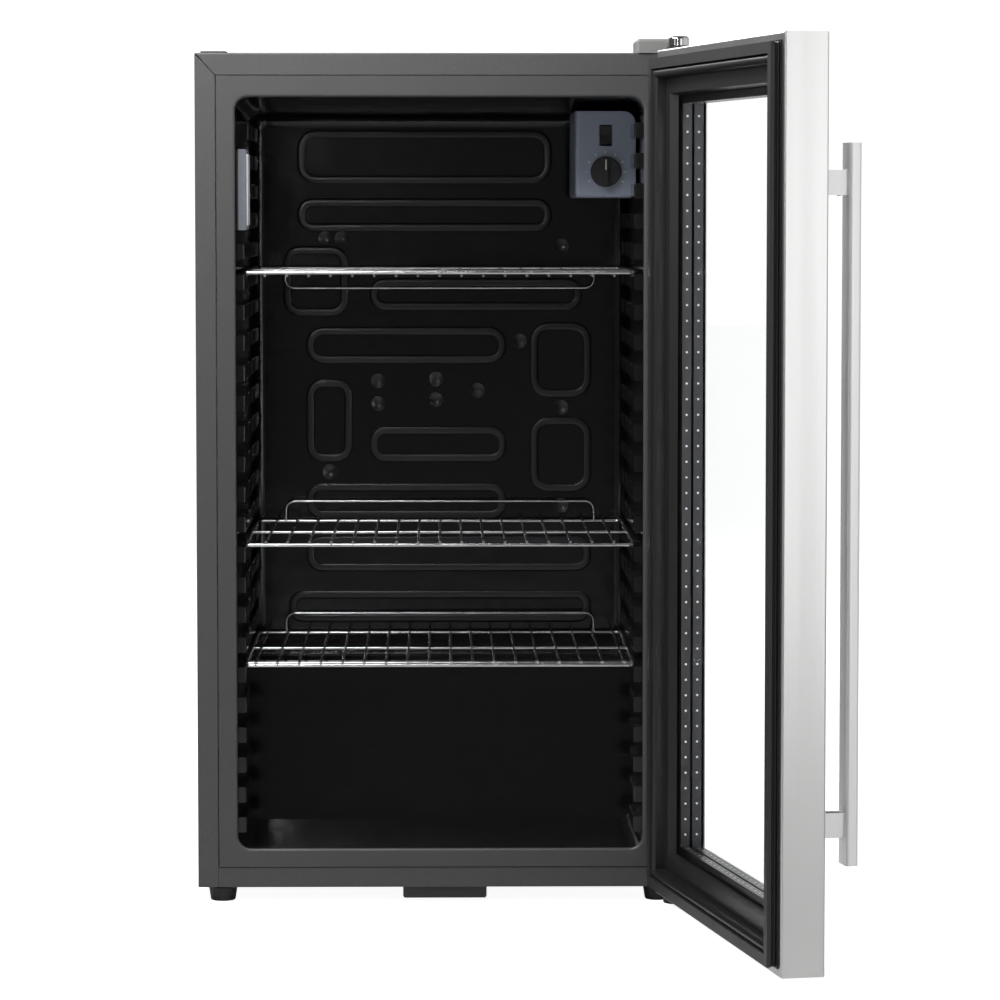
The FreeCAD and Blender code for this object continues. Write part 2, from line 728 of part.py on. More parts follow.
def bottom_hinge_pin():
    """Pin that the door stands on, with a collar under the door and a foot nut below the arm."""
    shank = rod(PIN_RADIUS, (PIN_X, PIN_Y, 8.6), (PIN_X, PIN_Y, DOOR_BOTTOM + 12))
    collar = rod(5.0, (PIN_X, PIN_Y, 11.6), (PIN_X, PIN_Y, DOOR_BOTTOM - 0.15))
    nut = rod(12.6, (PIN_X, PIN_Y, 4.0), (PIN_X, PIN_Y, 8.6))
    nut = nut.makeFillet(1.2, edges_where(nut, lambda box: box.ZMax < 4.1 and box.XLength > 20))
    return fused([shank, collar, nut])


# ---------------------------------------------------------------- lamp and thermostat


def lamp_base():
    """Clip-in tray of the lamp on the left wall."""
    return block((-197.8, -196.0), (12, 62), (658.5, 737))


def lamp_lens():
    """Ribbed cover of the lamp."""
    cover = block((-196, -188), (12, 62), (658.5, 737))
    rims = edges_where(cover, lambda box: box.XMin > -188.1)
    cover = cover.makeFillet(2.0, rims)
    return cover.cut(block((-197, -189.4), (13.4, 60.6), (660, 735.5)))


def led_board():
    """Strip of light-emitting diodes."""
    board = block((-196, -194.8), (30, 42), (664, 731))
    chips = [block((-194.8, -193.8), (34, 38), (z, z + 4)) for z in range(670, 728, 9)]
    return fused([board] + chips)


def thermostat_housing():
    """Box at the top right with a hole for the dial's shaft and a window for the lamp switch."""
    box = block(HOUSING_X, HOUSING_Y, HOUSING_Z)
    front = edges_where(
        box,
        lambda bounds: (bounds.YMax < HOUSING_Y[0] + 0.1 and bounds.XMax < HOUSING_X[0] + 0.1)
        or (bounds.YMax < HOUSING_Y[0] + 0.1 and bounds.ZMax < HOUSING_Z[0] + 0.1)
        or (bounds.XMax < HOUSING_X[0] + 0.1 and bounds.ZMax < HOUSING_Z[0] + 0.1),
    )
    box = box.makeFillet(4.0, front)
    under_corner = edges_where(
        box, lambda bounds: bounds.XMin > HOUSING_X[1] - 0.1 and bounds.ZMin > HOUSING_Z[1] - 0.1
    )
    box = box.makeFillet(CORNER_RADIUS, under_corner)
    wall = HOUSING_WALL
    inside = block(
        (HOUSING_X[0] + wall, HOUSING_X[1] + 1),
        (HOUSING_Y[0] + wall, HOUSING_Y[1] - wall),
        (HOUSING_Z[0] + wall, HOUSING_Z[1] - wall),
    )
    y = HOUSING_Y[0]
    shaft_hole = rod(KNOB_SHAFT + 0.1, (KNOB_X, y - 5, KNOB_Z), (KNOB_X, y + 5, KNOB_Z))
    window = block((SWITCH_X - 6.2, SWITCH_X + 6.2), (y - 5, y + 5), (SWITCH_Z - 10.6, SWITCH_Z + 10.6))
    pivot = rod(SWITCH_PIN + 0.1, (SWITCH_X - 7.1, y + wall, SWITCH_Z), (SWITCH_X + 7.1, y + wall, SWITCH_Z))
    return without(box, [inside, shaft_hole, window, pivot])


def thermostat_body():
    """Capillary thermostat behind the dial, with its bush and half of its shaft."""
    y = HOUSING_Y[0] + HOUSING_WALL
    case = block((KNOB_X - 18, KNOB_X + 18), (y, y + 24), (KNOB_Z - 16, KNOB_Z + 16))
    return case


def thermostat_knob():
    """Dial with a raised grip, on a stub shaft."""
    y = HOUSING_Y[0]
    dial = rod(15, (KNOB_X, y - 7, KNOB_Z), (KNOB_X, y - 0.6, KNOB_Z))
    dial = dial.makeFillet(1.2, edges_where(dial, lambda box: box.YMax < y - 6.9))
    grip = block((KNOB_X - 2.6, KNOB_X + 2.6), (y - 12, y - 7), (KNOB_Z - 13, KNOB_Z + 13))
    shaft = rod(KNOB_SHAFT, (KNOB_X, y - 0.6, KNOB_Z), (KNOB_X, y + HOUSING_WALL - 0.1, KNOB_Z))
    return fused([dial, grip, shaft])


def lamp_switch():
    """Rocker of the lamp switch, tipped to one side."""
    y = HOUSING_Y[0] + 1.0
    outline = [
        (y - 2.5, -9.2), (y - 1.6, 0), (y - 2.5, 9.2),
        (y + 1.5, 9.2), (y + 4.5, 3), (y + 4.5, -3), (y + 1.5, -9.2),
    ]
    corners = [(along, SWITCH_Z + up) for along, up in outline]
    rocker = prism_x(corners, SWITCH_X - 5.6, SWITCH_X + 5.6)
    rocker.rotate(point(SWITCH_X, y + 1.0, SWITCH_Z), point(1, 0, 0), -6)
    pin = rod(SWITCH_PIN, (SWITCH_X - 6.9, y + 1.0, SWITCH_Z), (SWITCH_X + 6.9, y + 1.0, SWITCH_Z))
    return fused([rocker, pin])


# ---------------------------------------------------------------- shelves


def shelf(name, long_rods):
    """Welded wire shelf: frame, long rods, cross rod and a rail along the rear."""
    z = SHELF_HEIGHTS[name]
    flip = -1 if name == "shelf_top" else 1
    lift = flip * (FRAME_ROD + LONG_ROD - 0.3)
    frame_corners = [
        (0, SHELF_FRONT_Y, z),
        (SHELF_HALF, SHELF_FRONT_Y, z),
        (SHELF_HALF, SHELF_BACK_Y, z),
        (-SHELF_HALF, SHELF_BACK_Y, z),
        (-SHELF_HALF, SHELF_FRONT_Y, z),
        (0, SHELF_FRONT_Y, z),
    ]
    pieces = [tube(frame_corners, FRAME_ROD, 6)]
    first = -LONG_PITCH * (long_rods - 1) / 2
    for index in range(long_rods):
        x = first + index * LONG_PITCH
        pieces.append(rod(LONG_ROD, (x, SHELF_FRONT_Y - 2.2, z + lift), (x, SHELF_BACK_Y + 2.2, z + lift)))
    brace_y = [(SHELF_FRONT_Y + SHELF_BACK_Y) / 2]
    if name == "shelf_lower":
        brace_y.append(SHELF_FRONT_Y + 16)
    for y in brace_y:
        pieces.append(rod(1.7, (-SHELF_HALF, y, z + 0.3 * flip), (SHELF_HALF, y, z + 0.3 * flip)))
    rail_half = 162.0
    rail_y = SHELF_BACK_Y - 2.9
    rail_top = z + flip * 21
    rail = [
        (-rail_half, rail_y, z), (-rail_half, rail_y, rail_top),
        (rail_half, rail_y, rail_top), (rail_half, rail_y, z),
    ]
    pieces.append(tube(rail, 1.35, 9))
    return fused(pieces)


# ---------------------------------------------------------------- door


def swung(shape):
    """The closed door's piece, turned to the rest position about the pin."""
    return shape.rotated(point(PIN_X, PIN_Y, 0), Z_AXIS, DOOR_REST_ANGLE)


def door_point(inset, depth, side, up):
    """A point at one corner of the door, by its inset from the edges and depth from the back plane."""
    x = side * (DOOR_HALF - inset)
    z = DOOR_TOP - inset if up > 0 else DOOR_BOTTOM + inset
    return point(x, -GAP - depth, z)


def section_face(profile, side, up, runs_up):
    """The profile square to its member, at one corner. An item with two points is an arc through the first."""
    corner = door_point(0, 0, side, up)

    def place(inset, depth):
        spot = door_point(inset, depth, side, up)
        if runs_up:
            spot.z = corner.z
        else:
            spot.x = corner.x
        return spot

    pieces = []
    start = place(*profile[0])
    here = start
    for item in profile[1:]:
        if isinstance(item[0], tuple):
            there = place(*item[1])
            pieces.append(Part.Arc(here, place(*item[0]), there).toShape())
        else:
            there = place(*item)
            pieces.append(Part.LineSegment(here, there).toShape())
        here = there
    pieces.append(Part.LineSegment(here, start).toShape())
    return Part.Face(Part.Wire(pieces))


def mitred_members(profile):
    """Four straight members of one section, mitred at the corners."""
    corners = [(-1, -1), (1, -1), (1, 1), (-1, 1)]
    members = []
    for index in range(4):
        first = corners[index]
        second = corners[(index + 1) % 4]
        length = door_point(0, 0, *second) - door_point(0, 0, *first)
        member = section_face(profile, *first, index % 2 == 1).extrude(length)
        outline = [door_point(0, -20, *first), door_point(0, -20, *second)]
        outline += [door_point(60, -20, *second), door_point(60, -20, *first)]
        wedge = Part.Face(Part.makePolygon(outline + outline[:1])).extrude(point(0, -80, 0))
        members.append(member.common(wedge).Solids[0])
    return members


def door_plate(inset, depths):
    """A flat pane or sheet as large as the door less an inset all round."""
    return block(
        (-DOOR_HALF + inset, DOOR_HALF - inset),
        (-GAP - depths[1], -GAP - depths[0]),
        (DOOR_BOTTOM + inset, DOOR_TOP - inset),
    )


def door_ring(insets, depths):
    """A flat rectangular ring between two insets."""
    hole = door_plate(insets[1], (depths[0] - 1, depths[1] + 1))
    return door_plate(insets[0], depths).cut(hole)


def bush_pockets():
    """Holes for the two hinge bushes, in the closed door."""
    return [hinge_pin_hole(DOOR_BOTTOM - 5, DOOR_BOTTOM + 14), hinge_pin_hole(DOOR_TOP - 14, DOOR_TOP + 5)]


def post_places():
    """Middle of each handle post across the closed door, with its height."""
    x = -DOOR_HALF + HANDLE_INSET + HANDLE_WIDTH / 2
    return [(x, z) for z in POST_HEIGHTS]


def door_outer_frame():
    """Stainless frame: folded sheet with a broad front border and a narrow rear lip."""
    outer = FOLD_RADIUS * (1 - math.sqrt(0.5))
    inner = SHEET + (FOLD_RADIUS - SHEET) * (1 - math.sqrt(0.5))
    far = DOOR_THICK - FOLD_RADIUS
    profile = [
        (7, 0), (7, SHEET), (FOLD_RADIUS, SHEET), ((inner, inner), (SHEET, FOLD_RADIUS)),
        (SHEET, far), ((inner, DOOR_THICK - inner), (FOLD_RADIUS, DOOR_THICK - SHEET)),
        (DOOR_BORDER, DOOR_THICK - SHEET), (DOOR_BORDER, DOOR_THICK), (FOLD_RADIUS, DOOR_THICK),
        ((outer, DOOR_THICK - outer), (0, far)), (0, FOLD_RADIUS), ((outer, outer), (FOLD_RADIUS, 0)),
    ]
    members = [without(member, bush_pockets()) for member in mitred_members(profile)]
    return swung(Part.makeCompound(members))


def door_core():
    """Rigid filling of the frame members."""
    profile = [
        (2.0, 1.3), (24.3, 1.3), (24.3, 11.0), (27.0, 11.0),
        (27.0, 38.9), (2.0, 38.9), (1.1, 37.9), (1.1, 2.1),
    ]
    members = [without(member, bush_pockets()) for member in mitred_members(profile)]
    return swung(Part.makeCompound(members))


def door_inner_frame():
    """Black frame round the glass on the inside, with a rounded bead next to the gasket."""
    profile = [
        (7.3, 1.2), (7.3, -1.5), (18.8, -1.5), (18.8, -5.3), ((22.9, -9.0), (27.0, -5.3)),
        (27.6, 3.0), (42.0, 3.0), (44.5, 10.9), (24.4, 10.9), (24.4, 1.2),
    ]
    return swung(Part.makeCompound(mitred_members(profile)))


def door_gasket():
    """Soft sealing strip: a folded bellows with a flat head that holds the magnet."""
    profile = [
        (9.6, -1.6), (8.8, -2.8), (10.0, -4.0), (8.8, -5.2), (9.8, -6.3), (8.5, -6.5), (8.5, -10.2),
        (18.5, -10.2), (18.5, -6.5), (16.4, -6.3), (15.4, -5.2), (16.6, -4.0), (15.4, -2.8), (16.2, -1.6),
    ]
    core = [(11.0, -7.2), (11.0, -9.4), (16.0, -9.4), (16.0, -7.2)]
    members = [outer.cut(inner) for outer, inner in zip(mitred_members(profile), mitred_members(core))]
    return swung(Part.makeCompound(members))


def gasket_magnet():
    """Flexible magnet strips inside the gasket's head."""
    profile = [(11.1, -7.3), (11.1, -9.3), (15.9, -9.3), (15.9, -7.3)]
    return swung(Part.makeCompound(mitred_members(profile)))


def glazing_sealant():
    """Dark sealant round both gaps between the panes."""
    rings = [door_ring((GLAZING_INSET, SPACER_INSETS[0]), depths) for depths in SPACER_DEPTHS]
    return swung(Part.makeCompound(rings))


def glazing_spacers():
    """Aluminium bars that hold the panes apart."""
    rings = [door_ring(SPACER_INSETS, depths) for depths in SPACER_DEPTHS]
    return swung(Part.makeCompound(rings))


def door_bushes():
    """Nylon bushes that the hinge pins turn in."""
    bushes = []
    for low, high in ((DOOR_BOTTOM, DOOR_BOTTOM + 14), (DOOR_TOP - 14, DOOR_TOP)):
        sleeve = hinge_pin_hole(low, high)
        bushes.append(sleeve.cut(rod(PIN_RADIUS + PIN_PLAY, (PIN_X, PIN_Y, low - 1), (PIN_X, PIN_Y, high + 1))))
    return swung(Part.makeCompound(bushes))


def handle_bar():
    """Flat stainless bar with softened edges."""
    front = -GAP - DOOR_THICK - HANDLE_REACH
    left = -DOOR_HALF + HANDLE_INSET
    bar = block((left, left + HANDLE_WIDTH), (front, front + HANDLE_THICK), (HANDLE_LOW, HANDLE_HIGH))
    bar = bar.makeFillet(2.5, edges_where(bar, lambda box: box.ZLength > 100))
    return swung(bar)


def handle_posts():
    """Two blocks between the door and the bar."""
    back = -GAP - DOOR_THICK
    front = back - HANDLE_REACH + HANDLE_THICK
    posts = []
    for x, z in post_places():
        post = block(
            (x - POST_WIDTH / 2, x + POST_WIDTH / 2), (front, back), (z - POST_HEIGHT / 2, z + POST_HEIGHT / 2)
        )
        stud_hole = rod(2.6, (x, back + 1, z), (x, back - 16, z))
        set_hole = rod(1.8, (x, front + 6, z - POST_HEIGHT), (x, front + 6, z))
        posts.append(without(post, [stud_hole, set_hole]))
    return swung(Part.makeCompound(posts))


def handle_studs():
    """Studs welded to the face of the frame, one inside each post."""
    face = -GAP - DOOR_THICK
    studs = [rod(2.5, (x, face - 15, z), (x, face, z)) for x, z in post_places()]
    return swung(Part.makeCompound(studs))


def handle_set_screws():
    """Small screws under the posts that lock the bar."""
    back = -GAP - DOOR_THICK
    front = back - HANDLE_REACH + HANDLE_THICK
    screws = []
    for x, z in post_places():
        low = z - POST_HEIGHT / 2
        screws.append(rod(1.75, (x, front + 6, low - 0.8), (x, front + 6, low + 8)))
    return swung(Part.makeCompound(screws))


# ---------------------------------------------------------------- every sub-part


def main():
    os.makedirs("parts", exist_ok=True)
    makers = [
        outer_wrapper, bottom_front_panel, base_plate, back_panel, back_panel_screws, compartment_liner,
        inner_liner, foam_insulation, evaporator_plate, evaporator_tube, condenser_tube, compressor_shell,
        compressor_pump, compressor_feet, compressor_grommets, compressor_bolts, relay_cover, filter_drier,
        suction_tube, discharge_tube, drip_tray, drain_tube, cord_gland, rear_feet, catch_plate,
        hinge_hole_plug, top_hinge_bracket, hinge_screws, top_hinge_cover, top_hinge_pin, hinge_pin_cap,
        bottom_hinge_bracket, bottom_hinge_pin, lamp_base, lamp_lens, led_board,
        thermostat_housing, thermostat_body, thermostat_knob, lamp_switch, door_outer_frame, door_core,
        door_inner_frame, door_gasket, gasket_magnet, glazing_sealant, glazing_spacers, door_bushes,
        handle_bar, handle_posts, handle_studs, handle_set_screws,
    ]
    for maker in makers:
        save(maker.__name__, maker())
    for name, side in (("levelling_foot_left", -1), ("levelling_foot_right", 1)):
        save(name, levelling_foot(side))
    for name in SHELF_HEIGHTS:
        save(name, shelf(name, 18 if name == "shelf_lower" else 17))
    for name, depths in PANES.items():
        save(name, swung(door_plate(GLAZING_INSET, depths)))


main()
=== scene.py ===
import math

import bpy
from mathutils import Matrix, Vector


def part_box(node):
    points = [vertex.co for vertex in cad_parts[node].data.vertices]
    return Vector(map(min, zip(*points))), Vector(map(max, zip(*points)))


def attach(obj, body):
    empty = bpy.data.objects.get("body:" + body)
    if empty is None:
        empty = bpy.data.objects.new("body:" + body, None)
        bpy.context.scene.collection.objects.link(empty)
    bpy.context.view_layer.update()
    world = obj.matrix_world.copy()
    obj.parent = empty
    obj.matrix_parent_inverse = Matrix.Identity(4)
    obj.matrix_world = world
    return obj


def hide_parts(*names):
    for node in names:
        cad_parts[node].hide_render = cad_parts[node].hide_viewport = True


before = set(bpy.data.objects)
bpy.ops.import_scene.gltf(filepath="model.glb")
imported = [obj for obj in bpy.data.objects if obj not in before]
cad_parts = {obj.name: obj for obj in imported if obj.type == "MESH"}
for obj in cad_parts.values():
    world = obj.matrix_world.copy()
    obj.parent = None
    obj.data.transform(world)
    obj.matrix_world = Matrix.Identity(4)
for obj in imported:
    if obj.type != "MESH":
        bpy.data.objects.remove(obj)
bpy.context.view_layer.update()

bl_info = {
    "name": "Glass Door Cooler",
    "version": (1, 0, 0),
    "blender": (4, 5, 0),
    "location": "3D View > Sidebar > Cooler",
    "description": "Finishes and details for an under-counter drinks cooler with a glass door",
    "category": "Object",
}

# The door is modelled closed and then turned open about its hinge pin
HINGE = Vector((0.230, -0.0303, 0.0))
DOOR_OPEN = math.radians(100.4)
DOOR_LOW = 0.0135
DOOR_HIGH = 0.8315
DOOR_HALF = 0.2365
DOOR_GAP = 0.0105

# Face of the inside back wall, and how far back the liner's satin flange colour goes before the glossy
# inside; it reaches past the flange over the rolled lip, where it is a painted highlight
WALL_Y = 0.345
FLANGE_AND_LIP_HIGHLIGHT_Y = 0.0022

# Rounded loops on the back wall: left, right, low, high and corner radius
CHANNEL_LOOPS = (
    (-0.150, 0.118, 0.705, 0.762, 0.020),
    (-0.150, 0.118, 0.655, 0.690, 0.016),
    (-0.165, -0.096, 0.566, 0.640, 0.018),
    (-0.074, 0.150, 0.572, 0.606, 0.016),
    (-0.141, 0.070, 0.516, 0.555, 0.018),
    (-0.141, -0.092, 0.412, 0.500, 0.018),
    (0.095, 0.160, 0.480, 0.560, 0.020),
    (-0.074, 0.070, 0.412, 0.450, 0.016),
    (0.095, 0.160, 0.380, 0.460, 0.020),
    (-0.141, 0.070, 0.352, 0.390, 0.016),
    (-0.141, 0.160, 0.296, 0.334, 0.016),
    (-0.160, 0.160, 0.242, 0.276, 0.015),
)
# How far a channel's ridge goes into the wall's surface
CHANNEL_SUNK = 0.002
# Round bosses on the back wall: across and up
WALL_BOSSES = (
    (-0.103, 0.648), (0.084, 0.540), (-0.065, 0.498), (-0.065, 0.474), (-0.004, 0.500), (-0.004, 0.478),
    (0.040, 0.488), (-0.120, 0.648), (0.128, 0.640), (0.128, 0.470), (-0.116, 0.402), (0.128, 0.366),
)
BOSS_RADIUS = 0.008

# Lamp cover's ribs: plain margin at both ends of the cover, and each rib's radius as a share of the pitch
RIB_MARGIN = 0.0045
RIB_SHARE = 0.42

# Marks round the dial: how many, the first one's angle and the angle between them, in degrees
MARK_COUNT = 9
MARK_FIRST = -120
MARK_STEP = 30
MARK_RING = 0.0178
MARK_LENGTH = 0.0022
MARK_GROWTH = 0.0002

# Screws of the back panel: head, how far out the corner and middle ones are, and the middle ones' height
SCREW_RADIUS = 0.0036
SCREW_SIDE = 0.215
SCREW_MIDDLE_SIDE = 0.225
SCREW_MIDDLE_UP = 0.510

# Glazing bars: distance from the door's edge, and how deep both rows of holes lie in the closed door
SPACER_INSET = 0.052
SPACER_DEPTHS = (0.0185, 0.0305)
HOLE_DEPTH = 0.0004

# Brightness of the floor and the sky where the camera looks straight at them or through glass
FLOOR_GLOW = 0.94
SKY_SEEN = 1.12
# The sky's light from the open door's side, and the sideways directions over which it comes in
SIDE_GLOW = 0.95
SIDE_FROM = 0.45
SIDE_TO = 0.95
# Soft lights: name, place, what it points at, width and height, and power as a share of the key light's
SOFT_LIGHTS = (
    ("key_light", (-0.45, -0.45, 1.45), (0.0, 0.05, 0.5), (0.9, 0.4), 1.0),
    ("right_panel", (1.55, -2.6, 0.40), (0.40, -0.45, 0.2), (1.0, 1.8), 0.46),
    ("left_strip", (-1.7, -1.9, 1.35), (0.2, -0.1, 0.65), (0.25, 1.3), 0.14),
    ("rear_panel", (-1.0, 2.6, 2.3), (0.0, 0.2, 0.4), (1.8, 1.4), 2.4),
    ("front_glint", (-0.5, -3.0, 1.1), (0.0, 0.2, 0.45), (0.15, 0.3), 0.2),
)
CAMERA_PLACE = Vector((0.0, -4.127, 0.683))
CAMERA_AIM = Vector((0.0586, 0.0, 0.3957))
CAMERA_LENS = 152.6

SHELL_NODES = ("outer_wrapper", "bottom_front_panel")
PLATED_NODES = ("back_panel", "base_plate", "compartment_liner")
SCREW_NODES = ("hinge_screws", "compressor_bolts", "top_hinge_pin", "handle_studs", "handle_set_screws")
DARK_STEEL_NODES = ("catch_plate", "top_hinge_bracket", "bottom_hinge_bracket", "bottom_hinge_pin")
GRAINED_NODES = (
    "relay_cover", "drip_tray", "drain_tube", "rear_feet", "hinge_hole_plug", "lamp_base",
    "thermostat_body", "thermostat_knob", "lamp_switch", "levelling_foot_left", "levelling_foot_right",
)
RUBBER_NODES = ("compressor_grommets", "cord_gland", "door_gasket")
COPPER_NODES = ("condenser_tube", "filter_drier", "suction_tube", "discharge_tube")
SHELF_NODES = ("shelf_top", "shelf_middle", "shelf_lower")
GLASS_NODES = ("glass_outer", "glass_middle", "glass_inner")
HANDLE_NODES = ("handle_bar", "handle_posts")


# ---------------------------------------------------------------- settings


class CoolerCabinetSettings(bpy.types.PropertyGroup):
    paint_colour: bpy.props.FloatVectorProperty(
        name="Paint", description="Colour of the cabinet's powder coat", subtype="COLOR", size=3,
        min=0.0, max=1.0, default=(0.056, 0.056, 0.058),
    )
    fleck_colour: bpy.props.FloatVectorProperty(
        name="Flecks", description="Colour of the light specks in the paint", subtype="COLOR", size=3,
        min=0.0, max=1.0, default=(0.13, 0.13, 0.135),
    )
    fleck_scale: bpy.props.FloatProperty(
        name="Fleck scale", description="Specks per metre", min=100.0, max=5000.0, default=1900.0,
    )
    cover_colour: bpy.props.FloatVectorProperty(
        name="Hinge cover", description="Colour of the plastic cover over the top hinge",
        subtype="COLOR", size=3, min=0.0, max=1.0, default=(0.21, 0.21, 0.207),
    )


class CoolerInsideSettings(bpy.types.PropertyGroup):
    liner_colour: bpy.props.FloatVectorProperty(
        name="Liner", description="Colour of the moulded inside", subtype="COLOR", size=3,
        min=0.0, max=1.0, default=(0.006, 0.006, 0.0065),
    )
    # This lighter colour also covers the rolled lip at the opening, as a painted highlight
    flange_and_lip_highlight_colour: bpy.props.FloatVectorProperty(
        name="Flange", description="Colour of the liner's satin front flange", subtype="COLOR", size=3,
        min=0.0, max=1.0, default=(0.065, 0.065, 0.067),
    )
    channel_width: bpy.props.FloatProperty(
        name="Channel width", description="Width of the cooling channels pressed in the back wall",
        unit="LENGTH", min=0.003, max=0.02, default=0.009,
    )
    channel_height: bpy.props.FloatProperty(
        name="Channel height", description="How far the channels stand out of the back wall",
        unit="LENGTH", min=0.001, max=0.006, default=0.0028,
    )
    lamp_strength: bpy.props.FloatProperty(
        name="Lamp glow", description="Brightness of the lamp's cover", min=0.0, max=20.0, default=0.35,
    )
    rib_pitch: bpy.props.FloatProperty(
        name="Rib pitch", description="Distance between the ribs of the lamp's cover",
        unit="LENGTH", min=0.001, max=0.01, default=0.0038,
    )


class CoolerDoorSettings(bpy.types.PropertyGroup):
    # Only the frame takes this colour; the handle gets a lighter copy of it, a painted highlight
    steel_colour: bpy.props.FloatVectorProperty(
        name="Steel", description="Colour of the brushed frame and handle", subtype="COLOR", size=3,
        min=0.0, max=1.0, default=(0.74, 0.74, 0.735),
    )
    brush_scale: bpy.props.FloatProperty(
        name="Brush scale", description="Brush lines per metre", min=200.0, max=8000.0, default=2600.0,
    )
    hole_pitch: bpy.props.FloatProperty(
        name="Hole pitch", description="Distance between the holes in the glazing bars",
        unit="LENGTH", min=0.005, max=0.05, default=0.015,
    )
    hole_radius: bpy.props.FloatProperty(
        name="Hole radius", description="Radius of the holes in the glazing bars",
        unit="LENGTH", min=0.0005, max=0.003, default=0.0011,
    )


class CoolerStageSettings(bpy.types.PropertyGroup):
    floor_colour: bpy.props.FloatVectorProperty(
        name="Floor", description="Colour of the plain floor", subtype="COLOR", size=3,
        min=0.0, max=1.0, default=(0.62, 0.62, 0.62),
    )
    sky_strength: bpy.props.FloatProperty(
        name="Sky", description="Brightness of the even light all round", min=0.0, max=5.0, default=0.13,
    )
    key_power: bpy.props.FloatProperty(
        name="Key light", description="Power of the large soft light", unit="POWER", min=0.0, max=1000.0,
        default=21.0,
    )


# ---------------------------------------------------------------- node building


def add_node(tree, kind, inputs=None, **attributes):
    """A node with its attributes set and its inputs set or linked."""
    node = tree.nodes.new(kind)
    for name, value in attributes.items():
        setattr(node, name, value)
    for name, value in (inputs or {}).items():
        connect(tree, node.inputs[name], value)
    return node


def connect(tree, socket, value):
    """Links a socket to another node's output, or gives it a plain value."""
    if isinstance(value, bpy.types.NodeSocket):
        tree.links.new(value, socket)
    elif hasattr(value, "__len__") and len(value) == 3 and socket.type == "RGBA":
        socket.default_value = (*value, 1.0)
    else:
        socket.default_value = value


def ramp(tree, factor, stops):
    """A colour ramp. Each stop is a place and a grey value or a colour."""
    node = tree.nodes.new("ShaderNodeValToRGB")
    tree.links.new(factor, node.inputs["Fac"])
    elements = node.color_ramp.elements
    while len(elements) < len(stops):
        elements.new(0.5)
    for element, (place, value) in zip(elements, stops):
        element.position = place
        colour = (value, value, value) if isinstance(value, float) else value
        element.color = (*colour, 1.0)
    return node.outputs["Color"]


def blend_colours(tree, factor, first, second):
    node = add_node(tree, "ShaderNodeMix", data_type="RGBA")
    connect(tree, node.inputs["Factor"], factor)
    connect(tree, node.inputs[6], first)
    connect(tree, node.inputs[7], second)
    return node.outputs[2]


def arithmetic(tree, operation, first, second):
    node = add_node(tree, "ShaderNodeMath", operation=operation)
    connect(tree, node.inputs[0], first)
    connect(tree, node.inputs[1], second)
    return node.outputs[0]


def seen_or(tree, seen, otherwise):
    """One value where the camera looks straight or through glass, and another for the light that falls."""
    path = add_node(tree, "ShaderNodeLightPath")
    either = arithmetic(tree, "MAXIMUM", path.outputs["Is Camera Ray"], path.outputs["Is Transmission Ray"])
    value = add_node(tree, "ShaderNodeMapRange", {"Value": either})
    connect(tree, value.inputs["To Min"], otherwise)
    value.inputs["To Max"].default_value = seen
    return value.outputs["Result"]


def object_place(tree, stretch=(1.0, 1.0, 1.0)):
    """Object coordinates, stretched."""
    coordinates = add_node(tree, "ShaderNodeTexCoord").outputs["Object"]
    return add_node(tree, "ShaderNodeMapping", {"Vector": coordinates, "Scale": stretch}).outputs["Vector"]


def new_group(name, inputs, outputs):
    """An empty node group. Inputs are (name, socket type, default) and outputs (name, socket type)."""
    tree = bpy.data.node_groups.new(name, "ShaderNodeTree")
    for title, kind, default in inputs:
        socket = tree.interface.new_socket(title, in_out="INPUT", socket_type=kind)
        if default is not None:
            socket.default_value = default
    for title, kind in outputs:
        tree.interface.new_socket(title, in_out="OUTPUT", socket_type=kind)
    return tree, tree.nodes.new("NodeGroupInput"), tree.nodes.new("NodeGroupOutput")


def use_group(tree, name, inputs):
    group = add_node(tree, "ShaderNodeGroup", node_tree=bpy.data.node_groups[name])
    for title, value in inputs.items():
        connect(tree, group.inputs[title], value)
    return group


VECTOR = "NodeSocketVector"
NUMBER = "NodeSocketFloat"


def build_flecks():
    """Small specks scattered in paint, with the coat's slight unevenness."""
    tree, source, result = new_group(
        "Paint Flecks",
        [("Vector", VECTOR, None), ("Scale", NUMBER, 1500.0), ("Cover", NUMBER, 0.35)],
        [("Flecks", NUMBER), ("Height", NUMBER)],
    )
    place = source.outputs["Vector"]
    cells = add_node(tree, "ShaderNodeTexVoronoi", {"Vector": place, "Scale": source.outputs["Scale"]})
    fine = add_node(
        tree, "ShaderNodeTexNoise", {"Vector": place, "Scale": source.outputs["Scale"], "Detail": 2.0}
    )
    spot = arithmetic(tree, "LESS_THAN", cells.outputs["Distance"], source.outputs["Cover"])
    chosen = ramp(tree, fine.outputs["Fac"], [(0.45, 0.0), (0.62, 1.0)])
    connect(tree, result.inputs["Flecks"], arithmetic(tree, "MULTIPLY", spot, chosen))
    peel = add_node(tree, "ShaderNodeTexNoise", {"Vector": place, "Scale": 420.0, "Detail": 3.0})
    lift = arithmetic(tree, "MULTIPLY", spot, 0.25)
    connect(tree, result.inputs["Height"], arithmetic(tree, "ADD", peel.outputs["Fac"], lift))


def build_grain():
    """Fine moulded grain with broad, faint changes of tone."""
    tree, source, result = new_group(
        "Moulded Grain",
        [("Vector", VECTOR, None), ("Scale", NUMBER, 900.0)],
        [("Tone", NUMBER), ("Height", NUMBER)],
    )
    place = source.outputs["Vector"]
    fine = add_node(
        tree, "ShaderNodeTexNoise",
        {"Vector": place, "Scale": source.outputs["Scale"], "Detail": 4.0, "Roughness": 0.6},
    )
    broad = add_node(tree, "ShaderNodeTexNoise", {"Vector": place, "Scale": 14.0, "Detail": 4.0})
    mixed = arithmetic(tree, "MULTIPLY", fine.outputs["Fac"], 0.4)
    connect(tree, result.inputs["Tone"], arithmetic(tree, "ADD", broad.outputs["Fac"], mixed))
    connect(tree, result.inputs["Height"], fine.outputs["Fac"])


